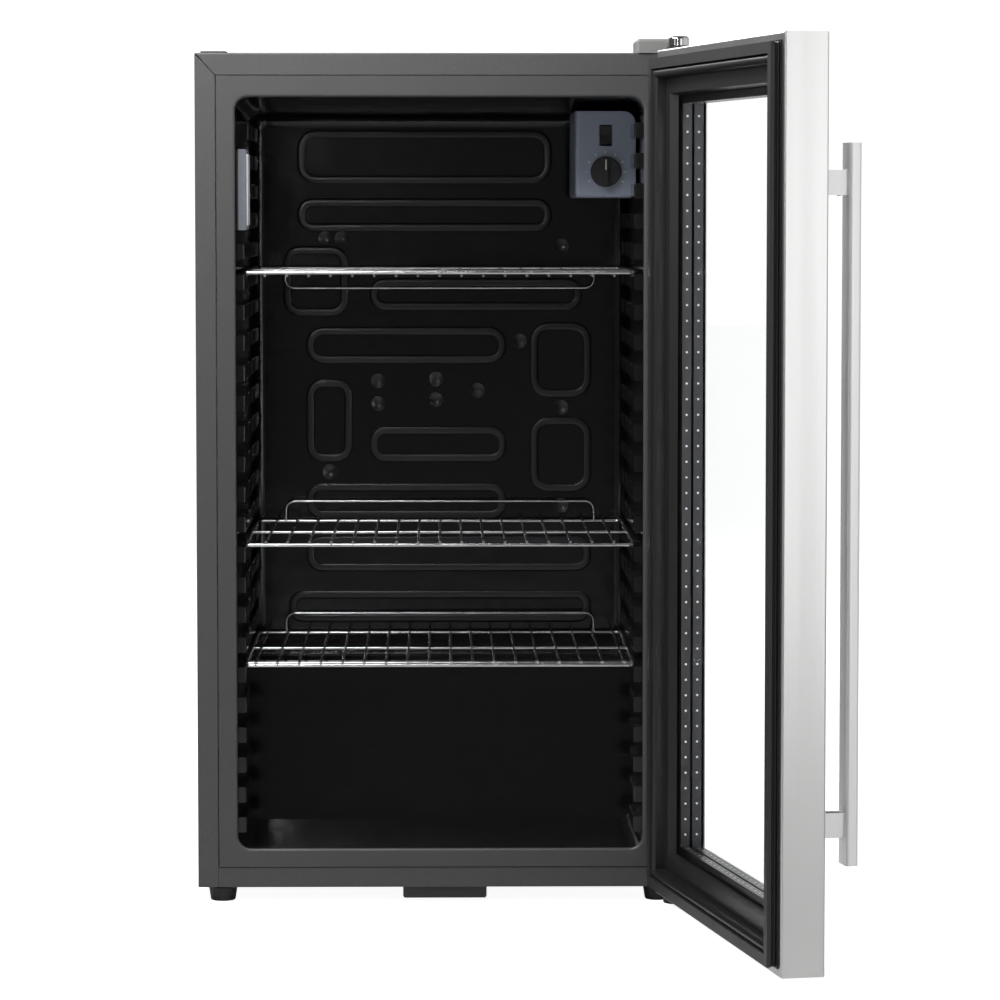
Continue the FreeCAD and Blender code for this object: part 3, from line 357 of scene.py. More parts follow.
def build_brushing():
    """Long brush lines along the stretched axis, with a few deeper ones."""
    tree, source, result = new_group(
        "Brush Lines",
        [("Vector", VECTOR, None), ("Scale", NUMBER, 2600.0)],
        [("Tone", NUMBER), ("Height", NUMBER)],
    )
    place = source.outputs["Vector"]
    lines = add_node(
        tree, "ShaderNodeTexNoise",
        {"Vector": place, "Scale": source.outputs["Scale"], "Detail": 3.0, "Roughness": 0.7},
    )
    deep = add_node(tree, "ShaderNodeTexNoise", {"Vector": place, "Scale": 700.0, "Detail": 2.0})
    scratch = ramp(tree, deep.outputs["Fac"], [(0.58, 0.0), (0.66, 1.0)])
    scratched = arithmetic(tree, "MULTIPLY", scratch, 0.35)
    cut = arithmetic(tree, "SUBTRACT", lines.outputs["Fac"], scratched)
    connect(tree, result.inputs["Tone"], cut)
    connect(tree, result.inputs["Height"], cut)


def build_smudges():
    """Faint wipe marks and haze that vary how glossy a surface is."""
    tree, source, result = new_group(
        "Wipe Marks",
        [("Vector", VECTOR, None), ("Gloss", NUMBER, 0.1), ("Spread", NUMBER, 0.06)],
        [("Roughness", NUMBER)],
    )
    place = source.outputs["Vector"]
    haze = add_node(
        tree, "ShaderNodeTexNoise", {"Vector": place, "Scale": 9.0, "Detail": 5.0, "Distortion": 0.8}
    )
    wipes = add_node(tree, "ShaderNodeTexNoise", {"Vector": place, "Scale": 60.0, "Detail": 3.0})
    both = arithmetic(tree, "MULTIPLY", haze.outputs["Fac"], wipes.outputs["Fac"])
    spread = arithmetic(tree, "MULTIPLY", both, source.outputs["Spread"])
    doubled = arithmetic(tree, "MULTIPLY", spread, 4.0)
    connect(tree, result.inputs["Roughness"], arithmetic(tree, "ADD", source.outputs["Gloss"], doubled))


def build_dust():
    """Where a little dust settles: on faces that look up, in patches."""
    tree, source, result = new_group(
        "Settled Dust",
        [("Vector", VECTOR, None), ("Amount", NUMBER, 0.2)],
        [("Mask", NUMBER)],
    )
    facing = add_node(tree, "ShaderNodeNewGeometry").outputs["Normal"]
    upward = add_node(tree, "ShaderNodeSeparateXYZ", {"Vector": facing}).outputs["Z"]
    level = ramp(tree, upward, [(0.6, 0.0), (1.0, 1.0)])
    patches = add_node(
        tree, "ShaderNodeTexNoise", {"Vector": source.outputs["Vector"], "Scale": 35.0, "Detail": 6.0}
    )
    patchy = arithmetic(tree, "MULTIPLY", level, patches.outputs["Fac"])
    connect(tree, result.inputs["Mask"], arithmetic(tree, "MULTIPLY", patchy, source.outputs["Amount"]))


def new_finish(name, **constants):
    """A material with its Principled shader. An underscore in a name stands for a space."""
    material = bpy.data.materials.new(name)
    material.use_nodes = True
    shader = material.node_tree.nodes["Principled BSDF"]
    for title, value in constants.items():
        connect(material.node_tree, shader.inputs[title.replace("_", " ")], value)
    return material, material.node_tree, shader


def add_bump(tree, shader, height, strength, distance):
    bump = add_node(tree, "ShaderNodeBump", {"Height": height, "Strength": strength, "Distance": distance})
    connect(tree, shader.inputs["Normal"], bump.outputs["Normal"])


# ---------------------------------------------------------------- finishes


def powder_coat(name, colour, fleck_colour, fleck_scale):
    material, tree, shader = new_finish(name, IOR=1.5)
    place = object_place(tree)
    paint = use_group(tree, "Paint Flecks", {"Vector": place, "Scale": fleck_scale, "Cover": 0.42})
    speckled = blend_colours(tree, paint.outputs["Flecks"], colour, fleck_colour)
    dust = use_group(tree, "Settled Dust", {"Vector": place, "Amount": 0.10})
    dusty = blend_colours(tree, dust.outputs["Mask"], speckled, (0.30, 0.29, 0.28))
    connect(tree, shader.inputs["Base Color"], dusty)
    gloss = use_group(tree, "Wipe Marks", {"Vector": place, "Gloss": 0.44, "Spread": 0.08})
    connect(tree, shader.inputs["Roughness"], gloss.outputs["Roughness"])
    add_bump(tree, shader, paint.outputs["Height"], 0.30, 0.00025)
    return material


def moulded_plastic(name, colour, roughness, grain_scale=900.0, bump=0.25, spread=0.05):
    """Plastic with a fine grain and a slight change of tone."""
    material, tree, shader = new_finish(name, IOR=1.48)
    place = object_place(tree)
    grain = use_group(tree, "Moulded Grain", {"Vector": place, "Scale": grain_scale})
    shade = ramp(tree, grain.outputs["Tone"], [(0.35, 0.86), (1.0, 1.0)])
    darker = blend_colours(tree, shade, tuple(channel * 0.72 for channel in colour), colour)
    connect(tree, shader.inputs["Base Color"], darker)
    gloss = use_group(tree, "Wipe Marks", {"Vector": place, "Gloss": roughness, "Spread": spread})
    connect(tree, shader.inputs["Roughness"], gloss.outputs["Roughness"])
    add_bump(tree, shader, grain.outputs["Height"], bump, 0.00012)
    return material


def moulded_liner(name, inside_colour, flange_and_lip_highlight_colour):
    """Glossy inside with a satin front flange, in one moulding. The flange's lighter colour also covers the
    rolled lip as a painted highlight.
    """
    material, tree, shader = new_finish(name, IOR=1.46)
    place = object_place(tree)
    depth = add_node(tree, "ShaderNodeSeparateXYZ", {"Vector": place}).outputs["Y"]
    # In front of this depth the lighter flange colour is used, which also paints a highlight on the rolled
    # lip
    inside = arithmetic(tree, "GREATER_THAN", depth, FLANGE_AND_LIP_HIGHLIGHT_Y)
    grain = use_group(tree, "Moulded Grain", {"Vector": place, "Scale": 700.0})
    shade = ramp(tree, grain.outputs["Tone"], [(0.35, 0.75), (1.0, 1.0)])
    flange = blend_colours(tree, shade, tuple(channel * 0.75 for channel in flange_and_lip_highlight_colour), flange_and_lip_highlight_colour)
    colour = blend_colours(tree, inside, flange, inside_colour)
    dust = use_group(tree, "Settled Dust", {"Vector": place, "Amount": 0.05})
    dusty = blend_colours(tree, dust.outputs["Mask"], colour, (0.2, 0.2, 0.19))
    connect(tree, shader.inputs["Base Color"], dusty)
    satin = use_group(tree, "Wipe Marks", {"Vector": place, "Gloss": 0.34, "Spread": 0.05})
    gloss = use_group(tree, "Wipe Marks", {"Vector": place, "Gloss": 0.08, "Spread": 0.04})
    roughness = blend_colours(tree, inside, satin.outputs["Roughness"], gloss.outputs["Roughness"])
    connect(tree, shader.inputs["Roughness"], roughness)
    wave = add_node(tree, "ShaderNodeTexNoise", {"Vector": place, "Scale": 22.0, "Detail": 2.0})
    add_bump(tree, shader, wave.outputs["Fac"], 0.35, 0.0012)
    return material


def brushed_metal(name, colour, stretch, brush_scale, roughness=0.30, bump=0.10):
    """Metal with brush lines along its stretched axis."""
    material, tree, shader = new_finish(name, Metallic=1.0)
    place = object_place(tree, stretch)
    brushing = use_group(tree, "Brush Lines", {"Vector": place, "Scale": brush_scale})
    shade = ramp(tree, brushing.outputs["Tone"], [(0.25, 0.86), (0.75, 1.0)])
    streaked = blend_colours(tree, shade, tuple(channel * 0.80 for channel in colour), colour)
    connect(tree, shader.inputs["Base Color"], streaked)
    gloss = use_group(tree, "Wipe Marks", {"Vector": place, "Gloss": roughness, "Spread": 0.05})
    connect(tree, shader.inputs["Roughness"], gloss.outputs["Roughness"])
    add_bump(tree, shader, brushing.outputs["Height"], bump, 0.00006)
    return material


def plated_sheet(name):
    """Galvanised sheet with its crystal pattern."""
    material, tree, shader = new_finish(name, Metallic=1.0)
    place = object_place(tree)
    crystals = add_node(tree, "ShaderNodeTexVoronoi", {"Vector": place, "Scale": 85.0, "Randomness": 1.0})
    tone = add_node(tree, "ShaderNodeSeparateColor", {"Color": crystals.outputs["Color"]}).outputs["Red"]
    colour = ramp(tree, tone, [(0.0, (0.36, 0.37, 0.38)), (1.0, (0.50, 0.51, 0.52))])
    dust = use_group(tree, "Settled Dust", {"Vector": place, "Amount": 0.5})
    dusty = blend_colours(tree, dust.outputs["Mask"], colour, (0.24, 0.23, 0.21))
    connect(tree, shader.inputs["Base Color"], dusty)
    gloss = use_group(tree, "Wipe Marks", {"Vector": place, "Gloss": 0.38, "Spread": 0.1})
    connect(tree, shader.inputs["Roughness"], gloss.outputs["Roughness"])
    grain = use_group(tree, "Moulded Grain", {"Vector": place, "Scale": 300.0})
    add_bump(tree, shader, grain.outputs["Height"], 0.12, 0.0001)
    return material


def chrome_wire(name):
    """Bright chrome that dulls a little in random patches."""
    material, tree, shader = new_finish(name, Metallic=1.0)
    place = object_place(tree)
    haze = add_node(tree, "ShaderNodeTexNoise", {"Vector": place, "Scale": 55.0, "Detail": 4.0})
    colour = ramp(tree, haze.outputs["Fac"], [(0.3, (0.50, 0.50, 0.51)), (0.7, (0.68, 0.68, 0.68))])
    connect(tree, shader.inputs["Base Color"], colour)
    gloss = use_group(tree, "Wipe Marks", {"Vector": place, "Gloss": 0.10, "Spread": 0.10})
    connect(tree, shader.inputs["Roughness"], gloss.outputs["Roughness"])
    grain = use_group(tree, "Moulded Grain", {"Vector": place, "Scale": 500.0})
    add_bump(tree, shader, grain.outputs["Height"], 0.05, 0.0001)
    return material


def drawn_copper(name):
    """Copper with patches where it has darkened."""
    material, tree, shader = new_finish(name, Metallic=1.0)
    place = object_place(tree)
    patches = add_node(tree, "ShaderNodeTexNoise", {"Vector": place, "Scale": 40.0, "Detail": 6.0})
    colour = ramp(
        tree, patches.outputs["Fac"],
        [(0.30, (0.30, 0.13, 0.07)), (0.52, (0.62, 0.30, 0.18)), (0.75, (0.78, 0.42, 0.27))],
    )
    connect(tree, shader.inputs["Base Color"], colour)
    gloss = use_group(tree, "Wipe Marks", {"Vector": place, "Gloss": 0.26, "Spread": 0.15})
    connect(tree, shader.inputs["Roughness"], gloss.outputs["Roughness"])
    add_bump(tree, shader, patches.outputs["Fac"], 0.08, 0.0002)
    return material


def cut_foam(name):
    """Rigid foam with small cells, coloured darker and greyer than fresh foam as painted shade in the seams
    where it shows.
    """
    material, tree, shader = new_finish(name, IOR=1.3)
    place = object_place(tree)
    cells = add_node(tree, "ShaderNodeTexVoronoi", {"Vector": place, "Scale": 700.0})
    # Dark, greyish foam colour: the foam's own yellow, darkened as painted shade in the seams
    colour = ramp(
        tree, cells.outputs["Distance"], [(0.0, (0.42, 0.37, 0.26)), (0.8, (0.26, 0.22, 0.14))]
    )
    connect(tree, shader.inputs["Base Color"], colour)
    grain = use_group(tree, "Moulded Grain", {"Vector": place, "Scale": 400.0})
    connect(tree, shader.inputs["Roughness"], ramp(tree, grain.outputs["Height"], [(0.0, 0.8), (1.0, 1.0)]))
    add_bump(tree, shader, cells.outputs["Distance"], 0.5, 0.0004)
    return material


def window_glass(name):
    """Clear glass with the faintest haze."""
    material, tree, shader = new_finish(name, Transmission_Weight=1.0, IOR=1.02)
    place = object_place(tree)
    haze = add_node(tree, "ShaderNodeTexNoise", {"Vector": place, "Scale": 6.0, "Detail": 4.0})
    tint = ramp(tree, haze.outputs["Fac"], [(0.3, (0.988, 0.994, 0.992)), (0.7, (0.996, 1.0, 0.998))])
    connect(tree, shader.inputs["Base Color"], tint)
    connect(tree, shader.inputs["Roughness"], ramp(tree, haze.outputs["Fac"], [(0.3, 0.0), (0.8, 0.012)]))
    return material


def frosted_lens(name, glow):
    """Milky plastic lit from behind, its colour darkened to a dim grey as painted shade."""
    material, tree, shader = new_finish(name, IOR=1.45, Emission_Strength=glow)
    place = object_place(tree)
    grain = use_group(tree, "Moulded Grain", {"Vector": place, "Scale": 300.0})
    # Dim blue-grey instead of milky white: painted shade that holds the lens back under the lights; the glow
    # uses the same colour
    colour = ramp(tree, grain.outputs["Tone"], [(0.3, (0.078, 0.084, 0.098)), (0.9, (0.125, 0.136, 0.153))])
    connect(tree, shader.inputs["Base Color"], colour)
    connect(tree, shader.inputs["Emission Color"], colour)
    gloss = use_group(tree, "Wipe Marks", {"Vector": place, "Gloss": 0.22, "Spread": 0.1})
    connect(tree, shader.inputs["Roughness"], gloss.outputs["Roughness"])
    add_bump(tree, shader, grain.outputs["Height"], 0.1, 0.0001)
    return material


def plain_floor(name, colour):
    material, tree, shader = new_finish(name, IOR=1.2, Emission_Color=(1.0, 1.0, 1.0))
    place = object_place(tree)
    broad = add_node(tree, "ShaderNodeTexNoise", {"Vector": place, "Scale": 0.8, "Detail": 3.0})
    shade = ramp(tree, broad.outputs["Fac"], [(0.3, 0.97), (0.7, 1.0)])
    tinted = blend_colours(tree, shade, tuple(channel * 0.9 for channel in colour), colour)
    connect(tree, shader.inputs["Base Color"], tinted)
    connect(tree, shader.inputs["Roughness"], ramp(tree, broad.outputs["Fac"], [(0.3, 0.75), (0.7, 0.85)]))
    connect(tree, shader.inputs["Emission Strength"], seen_or(tree, FLOOR_GLOW, 0.0))
    return material


# ---------------------------------------------------------------- modelling helpers


def paint_nodes(names, material):
    """Gives CAD nodes a finish, in the slots they have."""
    for name in names:
        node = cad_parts[name]
        for slot in node.material_slots:
            slot.material = material


def start_clear():
    """Object mode with nothing selected."""
    if bpy.context.object and bpy.context.object.mode != "OBJECT":
        bpy.ops.object.mode_set(mode="OBJECT")
    bpy.ops.object.select_all(action="DESELECT")


def keep_place():
    """Puts the active object's place, turn and size into its mesh."""
    bpy.ops.object.transform_apply(location=True, rotation=True, scale=True)


def add_cube(name, low, high):
    """A box primitive between two corners."""
    start_clear()
    low, high = Vector(low), Vector(high)
    bpy.ops.mesh.primitive_cube_add(size=1.0, location=(low + high) / 2)
    piece = bpy.context.object
    piece.name = name
    piece.scale = high - low
    keep_place()
    return piece


def add_cylinder(name, radius, depth, centre, turn=(0.0, 0.0, 0.0), sides=24):
    start_clear()
    bpy.ops.mesh.primitive_cylinder_add(
        vertices=sides, radius=radius, depth=depth, location=centre, rotation=turn
    )
    piece = bpy.context.object
    piece.name = name
    keep_place()
    return piece


def apply_modifier(piece, kind, **values):
    """Adds a modifier with its values and applies it."""
    bpy.context.view_layer.objects.active = piece
    modifier = piece.modifiers.new(kind.title(), kind)
    for name, value in values.items():
        setattr(modifier, name, value)
    bpy.ops.object.modifier_apply(modifier=modifier.name)


def select_faces(piece, test):
    """Edit mode, with the faces picked that pass a test of their centre and normal."""
    bpy.context.view_layer.objects.active = piece
    for polygon in piece.data.polygons:
        polygon.select = bool(test(polygon.center, polygon.normal))
    picked = {index for polygon in piece.data.polygons if polygon.select for index in polygon.vertices}
    for vertex in piece.data.vertices:
        vertex.select = vertex.index in picked
    for edge in piece.data.edges:
        edge.select = all(index in picked for index in edge.vertices)
    bpy.ops.object.mode_set(mode="EDIT")
    bpy.ops.mesh.select_mode(type="FACE")


def finish_edit():
    bpy.ops.object.mode_set(mode="OBJECT")


def copy_at(piece, shifts):
    """Moves a piece by the first shift, and joins to it a copy of it at each of the others."""
    copies = []
    for shift in shifts[1:]:
        twin = piece.copy()
        twin.data = piece.data.copy()
        bpy.context.collection.objects.link(twin)
        twin.data.transform(Matrix.Translation(Vector(shift)))
        copies.append(twin)
    piece.data.transform(Matrix.Translation(Vector(shifts[0])))
    return join_all([piece] + copies)


def join_all(pieces):
    start_clear()
    for piece in pieces:
        piece.select_set(True)
    bpy.context.view_layer.objects.active = pieces[0]
    if len(pieces) > 1:
        bpy.ops.object.join()
    return bpy.context.object


def smooth(piece, angle=35.0):
    start_clear()
    piece.select_set(True)
    bpy.context.view_layer.objects.active = piece
    bpy.ops.object.shade_smooth_by_angle(angle=math.radians(angle))


def finish_piece(piece, material, body, replaced=()):
    """Gives a new piece its finish and the body it moves with."""
    piece.data.materials.clear()
    piece.data.materials.append(material)
    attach(piece, body)
    if replaced:
        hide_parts(*replaced)


def swing_open(piece):
    """Turns a piece that was modelled on the closed door to where the door rests."""
    turn = Matrix.Translation(HINGE) @ Matrix.Rotation(DOOR_OPEN, 4, "Z") @ Matrix.Translation(-HINGE)
    piece.data.transform(turn)


# ---------------------------------------------------------------- operators


class COOLER_OT_effects(bpy.types.Operator):
    """Build the shader effects that the finishes share"""
    bl_idname = "cooler.effects"
    bl_label = "Shared Effects"

    def execute(self, context):
        for build in (build_flecks, build_grain, build_brushing, build_smudges, build_dust):
            build()
        return {"FINISHED"}


class COOLER_OT_finish_cabinet(bpy.types.Operator):
    """Finish the cabinet's sheets, feet and hinges"""
    bl_idname = "cooler.finish_cabinet"
    bl_label = "Cabinet Finishes"

    def execute(self, context):
        choice = context.scene.cooler_cabinet
        coat = powder_coat(
            "cabinet_paint", tuple(choice.paint_colour), tuple(choice.fleck_colour), choice.fleck_scale
        )
        paint_nodes(SHELL_NODES, coat)
        paint_nodes(PLATED_NODES, plated_sheet("zinc_sheet"))
        paint_nodes(SCREW_NODES, brushed_metal("screw_steel", (0.55, 0.55, 0.56), (1.0, 1.0, 1.0), 900.0))
        paint_nodes(DARK_STEEL_NODES, moulded_plastic("dark_steel", (0.022, 0.022, 0.023), 0.34))
        paint_nodes(GRAINED_NODES, moulded_plastic("black_plastic", (0.016, 0.016, 0.017), 0.42))
        paint_nodes(RUBBER_NODES, moulded_plastic("black_rubber", (0.026, 0.026, 0.027), 0.40, 500.0, 0.06))
        cover = moulded_plastic("grey_plastic", tuple(choice.cover_colour), 0.36, 1200.0, 0.15)
        paint_nodes(("top_hinge_cover",), cover)
        cap = brushed_metal("polished_cap", (0.50, 0.50, 0.51), (1.0, 1.0, 1.0), 900.0, 0.07, bump=0.01)
        paint_nodes(("hinge_pin_cap",), cap)
        return {"FINISHED"}


class COOLER_OT_finish_cooling(bpy.types.Operator):
    """Finish the compressor, its pipes and the insulation"""
    bl_idname = "cooler.finish_cooling"
    bl_label = "Cooling Finishes"

    def execute(self, context):
        enamel = moulded_plastic("compressor_black", (0.010, 0.010, 0.011), 0.16, 260.0, 0.2)
        paint_nodes(("compressor_shell", "compressor_feet"), enamel)
        iron = brushed_metal("cast_iron", (0.22, 0.21, 0.20), (1.0, 1.0, 1.0), 400.0, 0.55, bump=0.3)
        paint_nodes(("compressor_pump",), iron)
        paint_nodes(COPPER_NODES, drawn_copper("copper"))
        metal = brushed_metal("aluminium", (0.78, 0.79, 0.80), (1.0, 1.0, 0.05), 1500.0, 0.35)
        paint_nodes(("evaporator_plate", "evaporator_tube"), metal)
        paint_nodes(("foam_insulation", "door_core"), cut_foam("foam"))
        paint_nodes(("door_bushes",), moulded_plastic("nylon", (0.78, 0.76, 0.70), 0.4))
        return {"FINISHED"}


class COOLER_OT_finish_inside(bpy.types.Operator):
    """Finish the liner, the shelves, the lamp and the thermostat"""
    bl_idname = "cooler.finish_inside"
    bl_label = "Inside Finishes"

    def execute(self, context):
        choice = context.scene.cooler_inside
        liner = moulded_liner("liner_black", tuple(choice.liner_colour), tuple(choice.flange_and_lip_highlight_colour))
        paint_nodes(("inner_liner",), liner)
        paint_nodes(SHELF_NODES, chrome_wire("chrome_wire"))
        paint_nodes(("lamp_lens",), frosted_lens("lamp_lens", choice.lamp_strength))
        paint_nodes(("led_board",), moulded_plastic("board", (0.80, 0.81, 0.78), 0.4))
        housing = moulded_plastic("housing_grey", (0.30, 0.34, 0.43), 0.24, 700.0, 0.06)
        paint_nodes(("thermostat_housing",), housing)
        return {"FINISHED"}


class COOLER_OT_finish_door(bpy.types.Operator):
    """Finish the door's frame, glass, seals and handle"""
    bl_idname = "cooler.finish_door"
    bl_label = "Door Finishes"

    def execute(self, context):
        choice = context.scene.cooler_door
        steel = brushed_metal(
            "stainless", tuple(choice.steel_colour), (1.0, 1.0, 0.02), choice.brush_scale, 0.27
        )
        paint_nodes(("door_outer_frame",), steel)
        # The handle is the same stainless as the frame but gets a lighter colour, a painted highlight, and a
        # rougher finish
        satin = brushed_metal("handle_steel_painted_bright", (0.93, 0.93, 0.93), (1.0, 1.0, 0.02), choice.brush_scale, 0.40)
        paint_nodes(HANDLE_NODES, satin)
        black = moulded_plastic("frame_black", (0.014, 0.014, 0.014), 0.30, 500.0, 0.03, 0.02)
        paint_nodes(("door_inner_frame",), black)
        paint_nodes(("gasket_magnet",), moulded_plastic("magnet", (0.06, 0.05, 0.045), 0.6))
        sealant = moulded_plastic("sealant", (0.010, 0.010, 0.010), 0.5, 200.0, 0.4)
        paint_nodes(("glazing_sealant",), sealant)
        bars = brushed_metal("spacer_bars", (0.05, 0.05, 0.053), (1.0, 1.0, 0.05), 900.0)
        paint_nodes(("glazing_spacers",), bars)
        paint_nodes(GLASS_NODES, window_glass("clear_glass"))
        return {"FINISHED"}


class COOLER_OT_wall_channels(bpy.types.Operator):
    """Model the cooling channels pressed in the inside back wall"""
    bl_idname = "cooler.wall_channels"
    bl_label = "Wall Channels"

    def execute(self, context):
        choice = context.scene.cooler_inside
        pieces = []
        for loop in CHANNEL_LOOPS:
            pieces.append(self.channel(*loop, choice))
        for across, up in WALL_BOSSES:
            pieces.append(self.boss(across, up, choice))
        channels = join_all(pieces)
        channels.name = "wall_channels"
        smooth(channels, 50.0)
        finish_piece(channels, bpy.data.materials["liner_black"], "cabinet")
        return {"FINISHED"}

    def channel(self, left, right, low, high, radius, choice):
        """A rounded ridge that runs round one loop."""
        start_clear()
        centre = ((left + right) / 2, WALL_Y, (low + high) / 2)
        bpy.ops.mesh.primitive_plane_add(size=1.0, location=centre, rotation=(math.pi / 2, 0, 0))
        loop = bpy.context.object
        loop.scale = (right - left, high - low, 1.0)
        keep_place()
        bpy.ops.object.mode_set(mode="EDIT")
        bpy.ops.mesh.select_all(action="SELECT")
        bpy.ops.mesh.bevel(offset=radius, segments=8, affect="VERTICES")
        bpy.ops.mesh.select_all(action="SELECT")
        bpy.ops.mesh.inset(thickness=choice.channel_width, use_boundary=True)
        bpy.ops.mesh.delete(type="FACE")
        finish_edit()
        apply_modifier(loop, "SOLIDIFY", thickness=choice.channel_height + CHANNEL_SUNK, offset=0.0)
        apply_modifier(
            loop, "BEVEL", width=choice.channel_height * 0.95, segments=4, limit_method="ANGLE",
            angle_limit=math.radians(60),
        )
        return loop

    def boss(self, across, up, choice):
        """A round dimple with a raised rim."""
        knob = add_cylinder(
            "boss", BOSS_RADIUS, choice.channel_height * 2, (across, WALL_Y, up), (math.pi / 2, 0, 0), 28
        )
        select_faces(knob, lambda centre, normal: normal.y < -0.9)
        bpy.ops.mesh.inset(thickness=0.0025)
        bpy.ops.transform.translate(value=(0, 0.0012, 0))
        finish_edit()
        apply_modifier(
            knob, "BEVEL", width=0.0007, segments=3, limit_method="ANGLE", angle_limit=math.radians(40)
        )
        return knob


class COOLER_OT_lamp_ribs(bpy.types.Operator):
    """Model the ribs on the lamp's cover"""
    bl_idname = "cooler.lamp_ribs"
    bl_label = "Lamp Ribs"

    def execute(self, context):
        pitch = context.scene.cooler_inside.rib_pitch
        low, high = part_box("lamp_lens")
        face = high[0]
        centre = (face - 0.0002, low[1] + RIB_MARGIN, (low[2] + high[2]) / 2)
        length = high[2] - low[2] - 2 * RIB_MARGIN
        rib = add_cylinder("lamp_ribs", pitch * RIB_SHARE, length, centre, sides=12)
        apply_modifier(
            rib, "BEVEL", width=0.0007, segments=2, limit_method="ANGLE", angle_limit=math.radians(60)
        )
        count = int((high[1] - low[1] - 2 * RIB_MARGIN) / pitch) + 1
        ribs = copy_at(rib, [(0, pitch * index, 0) for index in range(count)])
        smooth(ribs)
        finish_piece(ribs, bpy.data.materials["lamp_lens"], "cabinet")
        return {"FINISHED"}


class COOLER_OT_dial_marks(bpy.types.Operator):
    """Model the raised marks round the dial and the line on its grip"""
    bl_idname = "cooler.dial_marks"
    bl_label = "Dial Marks"

    def execute(self, context):
        low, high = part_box("thermostat_knob")
        across, up = (low[0] + high[0]) / 2, (low[2] + high[2]) / 2
        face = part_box("thermostat_housing")[0][1]
        white = moulded_plastic("mark_white", (0.72, 0.72, 0.70), 0.4)
        marks = []
        for index in range(MARK_COUNT):
            angle = math.radians(MARK_FIRST + MARK_STEP * index)
            length = MARK_LENGTH + MARK_GROWTH * index
            mark = add_cube("mark", (-0.0006, -0.0004, MARK_RING), (0.0006, 0.0, MARK_RING + length))
            apply_modifier(mark, "BEVEL", width=0.00015, segments=1)
            turn = Matrix.Translation((across, face, up)) @ Matrix.Rotation(angle, 4, "Y")
            mark.data.transform(turn)
            marks.append(mark)
        ring = join_all(marks)
        ring.name = "dial_marks"
        finish_piece(ring, white, "cabinet")
        line = add_cube(
            "dial_line", (across - 0.0007, low[1] - 0.0002, up + 0.002),
            (across + 0.0007, low[1] + 0.0004, up + 0.012),
        )
        apply_modifier(line, "BEVEL", width=0.0002, segments=2)
        finish_piece(line, white, "thermostat_dial")
        return {"FINISHED"}


class COOLER_OT_panel_screws(bpy.types.Operator):
    """Model the cross-recessed screws round the back panel"""
    bl_idname = "cooler.panel_screws"
    bl_label = "Back Panel Screws"

    def execute(self, context):
        low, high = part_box("back_panel_screws")
        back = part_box("back_panel")[1][1]
        head = self.head(back, high[1])
        bottom, top = low[2] + SCREW_RADIUS, high[2] - SCREW_RADIUS
        shifts = [(x, 0, z) for x in (-SCREW_SIDE, 0.0, SCREW_SIDE) for z in (bottom, top)]
        shifts += [(x, 0, SCREW_MIDDLE_UP) for x in (-SCREW_MIDDLE_SIDE, SCREW_MIDDLE_SIDE)]
        screws = copy_at(head, shifts)
        screws.name = "panel_screws"
        smooth(screws)
        steel = bpy.data.materials["screw_steel"]
        finish_piece(screws, steel, "cabinet", ("back_panel_screws",))
        return {"FINISHED"}

    def head(self, back, out):
        """One domed head with a cross cut in it."""
        middle = (0, (back + out) / 2, 0)
        head = add_cylinder("screw_head", SCREW_RADIUS, out - back, middle, (math.pi / 2, 0, 0), 28)
        select_faces(head, lambda centre, normal: normal.y > 0.9)
        bpy.ops.mesh.inset(thickness=0.0011)
        finish_edit()
        apply_modifier(
            head, "BEVEL", width=0.0007, segments=3, limit_method="ANGLE", angle_limit=math.radians(50)
        )
        for size in ((0.0040, 0.0008), (0.0008, 0.0040)):
            cutter = add_cube(
                "cutter", (-size[0] / 2, out - 0.0008, -size[1] / 2), (size[0] / 2, out + 0.001, size[1] / 2)
            )
            apply_modifier(head, "BOOLEAN", operation="DIFFERENCE", object=cutter, solver="EXACT")
            bpy.data.objects.remove(cutter)
        return head


class COOLER_OT_spacer_holes(bpy.types.Operator):
    """Model the row of bright holes along each glazing bar"""
    bl_idname = "cooler.spacer_holes"
    bl_label = "Glazing Bar Holes"

    def execute(self, context):
        choice = context.scene.cooler_door
        upright = add_cylinder(
            "spacer_holes", choice.hole_radius, HOLE_DEPTH, (0, 0, 0), (0, math.pi / 2, 0), 10
        )
        select_faces(upright, lambda centre, normal: abs(normal.x) > 0.9)
        bpy.ops.mesh.inset(thickness=choice.hole_radius * 0.3)
        bpy.ops.transform.resize(value=(0.5, 1.0, 1.0))
        finish_edit()
        level = upright.copy()
        level.data = upright.data.copy()
        bpy.context.collection.objects.link(level)
        level.data.transform(Matrix.Rotation(math.pi / 2, 4, "Y"))
        depths = [-DOOR_GAP - depth for depth in SPACER_DEPTHS]
        half = DOOR_HALF - SPACER_INSET
        low, high = DOOR_LOW + SPACER_INSET, DOOR_HIGH - SPACER_INSET
        pitch = choice.hole_pitch
        rows = int((high - low) / pitch)
        start = (low + high - (rows - 1) * pitch) / 2
        shifts = []
        for y in depths:
            for side in (-1, 1):
                shifts += [(side * half, y, start + pitch * row) for row in range(rows)]
        sides = copy_at(upright, shifts)
        columns = int(2 * half / pitch)
        start = -(columns - 1) * pitch / 2
        shifts = []
        for y in depths:
            for z in (low, high):
                shifts += [(start + pitch * column, y, z) for column in range(columns)]
        ends = copy_at(level, shifts)
        holes = join_all([sides, ends])
        holes.name = "spacer_holes"
        swing_open(holes)
        finish_piece(holes, bpy.data.materials["aluminium"], "door")
        return {"FINISHED"}


